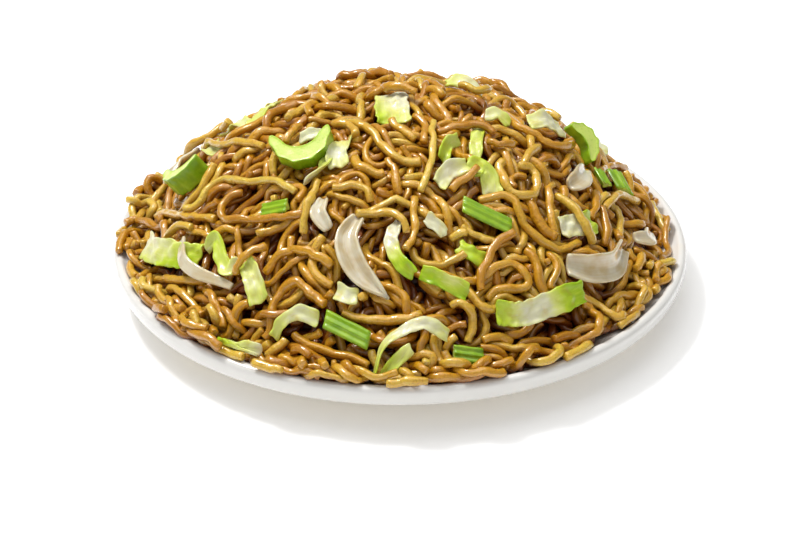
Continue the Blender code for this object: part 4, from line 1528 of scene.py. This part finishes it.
    def lay(self, draw: np.random.Generator, kept_clear: np.ndarray) -> None:
        """Walks every noodle over the heap: straight runs, sways and hooks, rising and sinking.

        Args:
            draw: the seeded source of chance.
            kept_clear: points of the toppings, which the upper noodles turn away from.
        """
        form, count = self.form, self.count
        steps = int(self.lengths[1] / self.spacing)
        number = np.arange(count) + 0.5
        turn = number * math.pi * (3 - math.sqrt(5))
        reach = form.radius * self.start_reach * np.sqrt(number / count)
        here = np.stack([reach * np.cos(turn), reach * np.sin(turn)], 1)
        here = here + draw.normal(0, self.start_spread, (count, 2))
        heading = draw.uniform(0, math.tau, count)
        rim = self.rim_noodles
        bearing = math.tau * (np.arange(rim) + draw.uniform(0, 1, rim)) / rim
        edge = form.reach(np.cos(bearing), np.sin(bearing)) - draw.uniform(*self.rim_starts, rim) * MM
        here[-rim:] = np.stack([edge * np.cos(bearing), edge * np.sin(bearing)], 1)
        heading[-rim:] = bearing + draw.normal(0, self.rim_heading, rim)
        level = draw.uniform(0, 1, count)
        swing = draw.uniform(*self.swings, count) * MM
        wave = draw.uniform(*self.waves, count) * MM
        phase = draw.uniform(0, math.tau, count)
        bend, wanted, left = np.zeros(count), np.zeros(count), np.zeros(count)
        clear_map = self.distance_map(kept_clear)
        places = np.zeros((count, steps, 3))
        for step in range(steps):
            length = step * self.spacing
            out = np.hypot(here[:, 0], here[:, 1])
            past = (out - self.shoulder) / self.shoulder_width
            ceiling = self.shell_rise - self.shoulder_drop * np.exp(-(past**2))
            height = level * (self.shell_depth + ceiling) - self.shell_depth
            height += swing * np.sin(phase + math.tau * length / wave)
            outward = form.outward(here[:, 0], here[:, 1])
            core = np.column_stack([here, form.lie(here[:, 0], here[:, 1])])
            places[:, step] = core + outward * height[:, None]
            spent = left <= 0
            kind = draw.random(count)
            hand = draw.choice([-1.0, 1.0], count)
            straight, sway, hook = (
                hand / (draw.uniform(*bends, count) * MM)
                for bends in (self.straight_bends, self.sway_bends, self.hook_bends)
            )
            unhooked = kind < self.unhooked_share
            fresh = np.where(kind < self.straight_share, straight, np.where(unhooked, sway, hook))
            wanted = np.where(spent, fresh, wanted)
            long_run = draw.uniform(*self.long_runs, count)
            run = np.where(unhooked, long_run, draw.uniform(*self.hook_runs, count)) * MM
            left = np.where(spent, run, left) - self.spacing
            bend += (wanted - bend) * self.limber
            heading += bend * self.spacing
            heading += self.turn_in(here, heading) + self.turn_away(here, heading, height, clear_map)
            ahead = np.stack([np.cos(heading), np.sin(heading)], 1)
            climb = -(outward[:, :2] * ahead).sum(1) / outward[:, 2]
            here = here + ahead * (self.spacing / np.sqrt(1 + climb**2))[:, None]
        wanted_steps = draw.uniform(*self.lengths, count) / self.spacing
        for index in range(count):
            points = places[index, : int(wanted_steps[index])].copy()
            if draw.random() < self.cut_at_lip:
                points = self.cut(points)
            self.bend_ends(points, draw)
            radius, tone = float(draw.uniform(*self.radii)), float(draw.beta(2, 2.4))
            self.noodles.append(Noodle(points, radius, tone, float(draw.beta(1, 3)) * self.edge_room))

    def cut(self, points: np.ndarray) -> np.ndarray:
        """Cuts a noodle where it comes to the lip.

        Args:
            points: the noodle's points.

        Returns:
            The points of its longest stretch on the plate, which ends pointing over the lip.
        """
        limit = self.form.reach(points[:, 0], points[:, 1]) - 2 * self.radii[1]
        outside = np.hypot(points[:, 0], points[:, 1]) > limit
        edges = np.concatenate([[-1], np.flatnonzero(outside), [len(points)]])
        widest = int(np.argmax(np.diff(edges)))
        return points[max(0, edges[widest]) : edges[widest + 1] + 1].copy()

    def laid(self, draw: np.random.Generator) -> list[Noodle]:
        """Lays the noodles that stand out, each through its own places.

        Args:
            draw: the seeded source of chance.

        Returns:
            The noodles.
        """
        found = []
        for lift, *route in self.LAID:
            share = np.linspace(0, 1, self.laid_steps * len(route))
            flat = along_route(tuple(route), share) * MM
            inside = self.form.reach(flat[:, 0], flat[:, 1]) - np.hypot(flat[:, 0], flat[:, 1])
            height = (lift - self.end_dip * np.abs(2 * share - 1) ** 6) * MM
            height = height * np.clip(inside / self.shoulder_width, self.least_lift, 1)
            base = np.column_stack([flat, self.form.lie(flat[:, 0], flat[:, 1])])
            fine = base + self.form.outward(flat[:, 0], flat[:, 1]) * height[:, None]
            length = np.concatenate([[0], np.cumsum(np.linalg.norm(np.diff(fine, axis=0), axis=1))])
            marks = np.arange(0, max(length[-1], 4 * self.spacing), self.spacing)
            points = np.column_stack([np.interp(marks, length, fine[:, axis]) for axis in range(3)])
            points = points[: max(4, int(length[-1] / self.spacing) + 1)]
            room = self.over_lip if route[0][1] < self.front_from else self.rim_margin
            radius, tone = float(draw.uniform(*self.laid_radii)) * MM, float(draw.beta(1.5, 4))
            found.append(Noodle(points, radius, tone, room, self.laid_give))
        return found

    def distance_map(self, points: np.ndarray) -> np.ndarray:
        """A grid of how far each place is from the nearest topping, seen from above.

        Args:
            points: the toppings' points.

        Returns:
            The distances, on the heap's own grid.
        """
        form = self.form
        rows = form.heights.shape[0]
        far = np.full((rows, rows), 1.0)
        far[form.cells(points)] = 0.0
        for _ in range(8):
            for dy, dx in ((0, 1), (0, -1), (1, 0), (-1, 0), (1, 1), (1, -1), (-1, 1), (-1, -1)):
                moved = np.roll(far, (dy, dx), (0, 1)) + form.cell * math.hypot(dx, dy)
                far = np.minimum(far, moved)
        return far

    def turn_in(self, here: np.ndarray, heading: np.ndarray) -> np.ndarray:
        """How much noodles turn at a step to stay on the plate.

        Args:
            here: where they are.
            heading: which way they run.

        Returns:
            The turn in radians.
        """
        reach = np.hypot(here[:, 0], here[:, 1])
        bearing = np.arctan2(here[:, 1], here[:, 0])
        limit = self.form.reach(here[:, 0], here[:, 1])
        press = np.clip((reach - (limit - self.turn_width)) / self.turn_width, 0, 1.6)
        return steer(heading, bearing, press, 0.95, 0.5)

    def turn_away(
        self, here: np.ndarray, heading: np.ndarray, height: np.ndarray, clear_map: np.ndarray
    ) -> np.ndarray:
        """How much the upper noodles turn at a step to pass beside a topping.

        Args:
            here: where they are.
            heading: which way they run.
            height: how far they are above the heap's core.
            clear_map: the distance from each place to the nearest topping.

        Returns:
            The turn in radians.
        """
        near = self.form.look_up(clear_map, here[:, 0], here[:, 1])
        step = self.form.cell
        across, along = (
            self.form.look_up(clear_map, here[:, 0] + dx, here[:, 1] + dy)
            - self.form.look_up(clear_map, here[:, 0] - dx, here[:, 1] - dy)
            for dx, dy in ((step, 0), (0, step))
        )
        press = np.clip(1 - near / self.clear_width, 0, 1) * (height > self.passes_under)
        return steer(heading, np.arctan2(-along, -across), press, 0.3, 0.7)

    def bend_ends(self, points: np.ndarray, draw: np.random.Generator) -> None:
        """Sinks about half of the ends into the heap and lets some stand up from it.

        Args:
            points: a noodle's points, which are changed.
            draw: the seeded source of chance.
        """
        outward = self.form.outward(points[:, 0], points[:, 1])
        along = np.arange(len(points)) * self.spacing
        for distance in (along, along[-1] - along):
            chance = draw.random()
            depth = draw.uniform(3, 8) * MM if chance < 0.45 else draw.uniform(-4.5, -1.5) * MM
            if chance < 0.7:
                points -= outward * (np.clip(1 - distance / (16 * MM), 0, 1) ** 1.5 * depth)[:, None]

    def settle(self, obstacles: np.ndarray, tree: BVHTree) -> None:
        """Lets the noodles sink onto each other, onto the toppings and onto the plate.

        Args:
            obstacles: points that don't move.
            tree: the toppings' faces.
        """
        points = np.concatenate([noodle.points for noodle in self.noodles])
        moving = len(points)
        counts = [len(noodle.points) for noodle in self.noodles]
        owner = np.repeat(np.arange(len(counts)), counts)
        thick, room, give = (
            np.repeat([getattr(noodle, name) for noodle in self.noodles], counts)
            for name in ("radius", "room", "give")
        )
        thick = np.concatenate([thick, np.full(len(obstacles), self.topping_skin)])
        give = np.concatenate([give, np.zeros(len(obstacles))])
        everything = np.concatenate([points, obstacles])
        number = np.arange(moving)
        springs = []
        for gap, stiffness in ((1, 1.0), (2, 0.5), (4, 0.12)):
            pairs = number[:-gap][owner[gap:] == owner[:-gap]]
            rest = np.linalg.norm(points[pairs + gap] - points[pairs], axis=1)
            if gap == 1:
                rest[:] = self.spacing
            for part in range(2):
                chosen = (pairs // gap) % 2 == part
                springs.append((pairs[chosen], gap, rest[chosen], stiffness))
        rounds = self.rounds
        for turn in range(rounds):
            place = everything[:moving]
            fading = max(0.0, 1 - self.pull_ends * turn / rounds)
            pull = self.pull * fading * (0.5 + 0.5 * give[:moving, None])
            place -= self.form.outward(place[:, 0], place[:, 1]) * pull
            if turn % self.pair_turns == 0:
                first, second = close_pairs(everything, 2 * self.radii[1] + self.pair_room, moving)
                first, second = np.minimum(first, second), np.maximum(first, second)
                owned = (second < moving) & (owner[np.minimum(second, moving - 1)] == owner[first])
                keep = ~(owned & (second - first <= self.own_neighbours))
                first, second = first[keep], second[keep]
                part_one = give[first] / (give[first] + give[second])
            gap = everything[first] - everything[second]
            distance = np.linalg.norm(gap, axis=1) + 1e-9
            overlap = thick[first] + thick[second] - distance
            hit = overlap > 0
            push = gap[hit] / distance[hit, None] * overlap[hit, None]
            one, two, share = first[hit], second[hit], part_one[hit]
            size = len(everything)
            total = np.zeros((size, 3))
            touches = np.bincount(one, minlength=size) + np.bincount(two, minlength=size)
            for axis in range(3):
                total[:, axis] = np.bincount(one, push[:, axis] * share, size)
                total[:, axis] -= np.bincount(two, push[:, axis] * (1 - share), size)
            eased = self.push_strength / np.maximum(1.5, np.sqrt(touches) * 1.15)
            place += (total * eased[:, None])[:moving]
            for pairs, step, rest, stiffness in springs:
                span = place[pairs + step] - place[pairs]
                length = np.linalg.norm(span, axis=1)
                change = span * ((length - rest) / length * 0.5 * stiffness)[:, None]
                place[pairs] += change
                place[pairs + step] -= change
            if turn % self.push_turns == self.push_turns - 1:
                self.push_off(place, thick[:moving], tree)
            self.hold_on(place, thick[:moving], room)
        for noodle, settled in zip(self.noodles, np.split(everything[:moving], np.cumsum(counts)[:-1])):
            noodle.points = settled.copy()
        LOG.info("settled %d points, deepest overlap %.2f mm", moving, float(overlap.max()) / MM)

    def hold_on(self, place: np.ndarray, thick: np.ndarray, room: np.ndarray) -> None:
        """Keeps noodles out of the heap's inside and of the plate.

        Args:
            place: their points, which are changed.
            thick: their half thickness.
            room: how far each stays from the lip.
        """
        form = self.form
        outward = form.outward(place[:, 0], place[:, 1])
        above = (place[:, 2] - form.top(place[:, 0], place[:, 1])) * outward[:, 2]
        short = np.maximum(0, -self.shell_depth - above)
        place += outward * short[:, None]
        reach = np.hypot(place[:, 0], place[:, 1])
        limit = form.reach(place[:, 0], place[:, 1]) - thick * 0.3 - room
        over = np.maximum(0, reach - limit)
        place[:, :2] *= (1 - over / np.maximum(reach, 1e-6))[:, None]
        reach = np.minimum(reach, limit)
        lowest = form.plate_inside(reach + thick * 0.5) + thick * 1.06
        place[:, 2] = np.maximum(place[:, 2], lowest)

    def build(self, toppings: Toppings, material: bpy.types.Material) -> list[bpy.types.Object]:
        """Lays, settles and meshes the noodles.

        Args:
            toppings: the dressed vegetables, which the noodles lie round.
            material: the noodles' finish.

        Returns:
            The pieces, each a share of the noodles.
        """
        draw = np.random.default_rng(self.seed)
        obstacles, tree = toppings.surface_points(), toppings.tree()
        self.lay(draw, obstacles)
        self.noodles = self.laid(draw) + self.noodles
        self.trim(tree)
        self.settle(obstacles, tree)
        self.find_skyline()
        pieces = []
        for part in range(self.pieces_wanted):
            share = self.noodles[part :: self.pieces_wanted]
            piece = self.tubes(f"noodles_{part + 1}", share, draw, material)
            pieces.append(settle_in(piece, Slot.NOODLE, "noodle_heap"))
        return pieces

    def trim(self, tree: BVHTree) -> None:
        """Cuts each noodle to its longest stretch that is outside every topping.

        Args:
            tree: the toppings' faces.
        """
        kept = []
        for noodle in self.noodles:
            best, run = (0, 0), 0
            for index, point in enumerate(noodle.points):
                close = tree.find_nearest(Vector(point), 0.5 * noodle.radius)[0] is not None
                run = 0 if close or is_inside(tree, Vector(point)) else run + 1
                best = max(best, (run, index + 1))
            length, end = best
            if length * self.spacing > self.shortest * noodle.give:
                kept.append(replace(noodle, points=noodle.points[end - length : end]))
        self.noodles = kept

    def push_off(self, place: np.ndarray, thick: np.ndarray, tree: BVHTree) -> None:
        """Moves noodles that cut into a topping out of it.

        Args:
            place: their points, which are changed.
            thick: their half thickness.
            tree: the toppings' faces.
        """
        for index, point in enumerate(place):
            spot, normal, _, distance = tree.find_nearest(Vector(point), 4 * MM)
            if spot is None:
                continue
            away = Vector(point) - spot
            if is_inside(tree, Vector(point)):
                place[index] += normal * (thick[index] + distance)
            elif distance < thick[index]:
                place[index] += away * (thick[index] / max(distance, 1e-6) - 1)

    def above_core(self, places: np.ndarray) -> np.ndarray:
        """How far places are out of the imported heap's core."""
        outward = self.form.outward(places[:, 0], places[:, 1])
        return (places[:, 2] - self.form.top(places[:, 0], places[:, 1])) * outward[:, 2]

    def find_skyline(self) -> None:
        """Maps how high the uppermost noodles lie over the core, smoothed over a few noodles' width."""
        form = self.form
        points = np.concatenate([noodle.points for noodle in self.noodles])
        high = np.full(form.heights.shape, -self.shell_depth)
        np.maximum.at(high, form.cells(points), self.above_core(points))
        steps = ((0, 1), (0, -1), (1, 0), (-1, 0))
        for _ in range(2):
            high = np.maximum.reduce([high, *(np.roll(high, step, (0, 1)) for step in steps)])
        for _ in range(3):
            high = (2 * high + sum(np.roll(high, step, (0, 1)) for step in steps)) / 6
        self.skyline = high

    def rings(self, noodle: Noodle, draw: np.random.Generator) -> tuple[np.ndarray, ...]:
        """Works out the rings of one noodle: where each is, how it is turned and how wide it is.

        Args:
            noodle: the noodle.
            draw: the seeded source of chance.

        Returns:
            The middles, two side directions, half widths and distances along.
        """
        soft = noodle.points.copy()
        soft[1:-1] = 0.25 * soft[:-2] + 0.5 * soft[1:-1] + 0.25 * soft[2:]
        soft += draw.normal(0, self.wobble, soft.shape)
        count = max(6, int((len(soft) - 1) * self.spacing / self.ring_gap))
        spot = np.linspace(0, len(soft) - 1, count + 1)
        spot = np.concatenate([[0, 0.02, 0.1], spot[1:-1], [spot[-1] - 0.1, spot[-1] - 0.02, spot[-1]]])
        middle = through(soft, spot)
        ahead = np.gradient(middle, axis=0)
        ahead /= np.linalg.norm(ahead, axis=1, keepdims=True) + 1e-12
        side = np.cross(ahead[0], (0.3, 0.5, 0.8))
        sides = []
        for direction in ahead:
            side = side - direction * side.dot(direction)
            side /= np.linalg.norm(side)
            sides.append(side)
        sides = np.array(sides)
        up = np.cross(ahead, sides)
        twist = draw.uniform(0, math.tau) + draw.uniform(-0.03, 0.03) * spot
        first = sides * np.cos(twist)[:, None] + up * np.sin(twist)[:, None]
        second = np.cross(ahead, first)
        swell = draw.normal(0, 1, count + 8)
        swell = np.convolve(swell, [0.1, 0.25, 0.3, 0.25, 0.1], "same")[: len(spot)]
        width = noodle.radius * (1 + self.swell * swell)
        width[[0, -1]] = 0
        width[[1, -2]] *= self.blunt_ends[0]
        width[[2, -3]] *= self.blunt_ends[1]
        return middle, first, second, width, spot * self.spacing

    def tubes(
        self, name: str, noodles: list[Noodle], draw: np.random.Generator, material: bpy.types.Material
    ) -> bpy.types.Object:
        """Wraps a grid round each noodle, with rounded-off square sides and blunt ends.

        Args:
            name: the piece's name.
            noodles: the noodles in this piece.
            draw: the seeded source of chance.
            material: the noodles' finish.

        Returns:
            The piece.
        """
        mesh = bmesh.new()
        mesh.loops.layers.uv.new("UVMap")
        rings = [self.rings(noodle, draw) for noodle in noodles]
        for index, (middle, *_) in enumerate(rings):
            bmesh.ops.create_grid(
                mesh, x_segments=len(middle) - 1, y_segments=self.sides, size=0.5,
                matrix=Matrix.Translation((0, 0, index)), calc_uvs=True,
            )
        data = bpy.data.meshes.new(name)
        mesh.to_mesh(data)
        mesh.free()
        flat = np.empty(len(data.vertices) * 3)
        data.vertices.foreach_get("co", flat)
        flat = flat.reshape(-1, 3)
        which = np.round(flat[:, 2]).astype(int)
        starts = np.concatenate([[0], np.cumsum([len(ring[0]) for ring in rings])])
        middle, first, second, width, along = (np.concatenate(part) for part in zip(*rings))
        lengths = np.diff(starts)[which]
        row = starts[which] + np.round((flat[:, 0] + 0.5) * (lengths - 1)).astype(int)
        angle = (flat[:, 1] + 0.5) * math.tau
        radius = width[row] * (1 - self.square * np.cos(4 * angle))
        facing = first[row] * np.cos(angle)[:, None] + second[row] * np.sin(angle)[:, None]
        places = middle[row] + facing * radius[:, None]
        data.vertices.foreach_set("co", places.ravel())
        corner = np.empty(len(data.loops), np.int32)
        data.loops.foreach_get("vertex_index", corner)
        uv = np.stack([along[row[corner]] / MM, angle[corner] * 1.8], 1)
        data.uv_layers["UVMap"].data.foreach_set("uv", uv.ravel())
        tones = np.array([noodle.tone for noodle in noodles])[which]
        # painted shade depth: how far each point lies under the uppermost noodles nearby
        sunk = self.form.look_up(self.skyline, places[:, 0], places[:, 1]) - self.above_core(places)
        # painted shade: faces that point down count as lying deeper, so they come out darker
        under = np.clip((self.underside - facing[:, 2]) / (2 * self.underside), 0, 1)
        sunk = (np.maximum(0, sunk) + under * self.underside_shade) / MM
        for label, values in (("tone", tones), ("sunk", sunk)):
            layer = data.attributes.new(label, "FLOAT", "POINT")
            layer.data.foreach_set("value", values.astype(np.float32))
        mesh = bmesh.new()
        mesh.from_mesh(data)
        bpy.data.meshes.remove(data)
        bmesh.ops.remove_doubles(mesh, verts=mesh.verts, dist=0.004 * MM)
        bmesh.ops.recalc_face_normals(mesh, faces=mesh.faces)
        return to_object(name, mesh, [material])


@dataclass
class HeapInside:
    """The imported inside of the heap, under the noodles that show."""

    form: HeapForm
    depth: float = 10.925 * MM
    rim_room: float = 9 * MM
    lump: float = 7 * MM
    lump_height: float = 1.2 * MM
    thinnest: float = 1.0 * MM
    base_gap: float = 0.5 * MM
    rings: int = 40
    under_rings: int = 10
    steps: int = 120

    def build(self) -> bpy.types.Object:
        """Turns a drum and gives its two sides the heap's and the plate's form.

        Returns:
            The inside.
        """
        top = [(math.sin(math.pi / 2 * ring / self.rings), 1.0) for ring in range(self.rings + 1)]
        under = [(1 - ring / self.under_rings, -1.0) for ring in range(self.under_rings + 1)]
        mesh = lathe(top + under, self.steps, 1e-5)
        form = self.form
        rim = form.radius - self.rim_room
        for vertex in mesh.verts:
            x, y, side = vertex.co
            x, y = x * rim, y * rim
            floor = float(form.plate_inside(np.array(math.hypot(x, y)))) + self.base_gap
            high = float(form.top(np.array(x), np.array(y))) - self.depth
            high += noise.noise(Vector((x, y, 3.0)) / self.lump) * self.lump_height
            vertex.co = (x, y, max(high, floor + self.thinnest) if side > 0 else floor)
        bmesh.ops.recalc_face_normals(mesh, faces=mesh.faces)
        # the inside is painted dark as the shade in the gaps between the noodles
        piece = to_object("noodles_inside", mesh, [PaintedShadeWeave().material()])
        return settle_in(piece, Slot.NOODLE, "noodle_heap")


@dataclass
class Studio:
    """The pale floor, the soft lights and the camera at the photograph's angle.

    Each lamp has its name, place, size and power. The near side of the rim looks a little wider than
    its middle, by near_side.
    """

    LAMPS = (
        ("softbox", (-0.15, 0.15, 1.35), 1.5, 13.0),
        ("lamp", (-0.45, 0.25, 1.1), 0.26, 10.0),
        ("fill", (0.3, -1.3, 0.9), 2.2, 5.0),
    )

    rim_radius: float = 115 * MM
    distance: float = 0.95
    elevation: float = math.radians(29)
    aim_height: float = 21 * MM
    rim_half_width_px: float = 287.0
    near_side: float = 1.0057
    centre_drop_px: float = 31.5
    frame_width_px: float = 800.0
    sensor_mm: float = 36.0
    floor_colour: str = "FAFAFA"
    sky_strength: float = 0.24
    # painted light: the floor's own glow, which lightens the shadow under the plate
    floor_painted_glow: float = 0.16

    def build(self) -> None:
        """Sets up everything that isn't the object."""
        self.floor()
        self.lights()
        self.camera()

    def floor(self) -> None:
        """Lays the floor, which glows a little as painted light that lightens the shadows on it."""
        mesh = bmesh.new()
        bmesh.ops.create_grid(mesh, x_segments=8, y_segments=8, size=4.0)
        material, tree, coords = new_material("studio paper with a painted glow")
        fibre = add_node(tree, "ShaderNodeTexNoise", {"Scale": 900.0, "Detail": 2.0}, {"Vector": coords})
        bump = add_node(
            tree, "ShaderNodeBump", {"Strength": 0.05, "Distance": 0.05 * MM},
            {"Height": fibre.outputs["Fac"]},
        )
        # painted light: the floor glows, though it is no lamp
        shader = add_node(
            tree, "ShaderNodeBsdfPrincipled",
            {
                "Base Color": linear(self.floor_colour), "Roughness": 0.9, "Specular IOR Level": 0.1,
                "Emission Color": (1, 1, 1, 1), "Emission Strength": self.floor_painted_glow,
            },
            {"Normal": bump.outputs[0]},
        )
        add_node(tree, "ShaderNodeOutputMaterial", links={"Surface": shader.outputs[0]})
        to_object("studio_floor", mesh, [material])

    def lights(self) -> None:
        """Hangs a large soft light overhead, a small one at the upper left, a fill and an even sky."""
        for name, place, size, power in self.LAMPS:
            light = bpy.data.lights.new(name, "AREA")
            light.shape = "SQUARE"
            light.size = size
            light.energy = power
            lamp = bpy.data.objects.new(name, light)
            lamp.location = place
            lamp.rotation_euler = (-Vector(place)).to_track_quat("-Z", "Y").to_euler()
            bpy.context.scene.collection.objects.link(lamp)
        world = bpy.data.worlds.new("even sky")
        world.use_nodes = True
        sky = world.node_tree.nodes["Background"]
        sky.inputs["Color"].default_value = (1, 1, 1, 1)
        sky.inputs["Strength"].default_value = self.sky_strength
        bpy.context.scene.world = world
        bpy.context.scene.view_settings.view_transform = "Standard"

    def camera(self) -> None:
        """Places the camera so that the plate's rim falls where the photograph has it."""
        focal_px = self.rim_half_width_px * self.distance / self.rim_radius / self.near_side
        data = bpy.data.cameras.new("camera")
        data.sensor_width = self.sensor_mm
        data.lens = focal_px * self.sensor_mm / self.frame_width_px
        camera = bpy.data.objects.new("camera", data)
        pitch = self.elevation + math.atan(self.centre_drop_px / focal_px)
        camera.location = (
            0,
            -self.distance * math.cos(self.elevation),
            self.aim_height + self.distance * math.sin(self.elevation),
        )
        camera.rotation_euler = (math.pi / 2 - pitch, 0, 0)
        bpy.context.scene.collection.objects.link(camera)
        bpy.context.scene.camera = camera


def main() -> None:
    """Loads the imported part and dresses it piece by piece."""
    logging.basicConfig(level=logging.INFO, format="%(name)s: %(message)s")
    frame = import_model()
    form = HeapForm()
    Plate(form).build()
    HeapInside(form).build()
    names = sorted(set(frame["nodes"]) - {"plate", "noodle_heap"})
    toppings = Toppings(form, names)
    toppings.build()
    NoodleTangle(form).build(toppings, FriedNoodle().material())
    Studio().build()


if __name__ == "__main__":
    main()
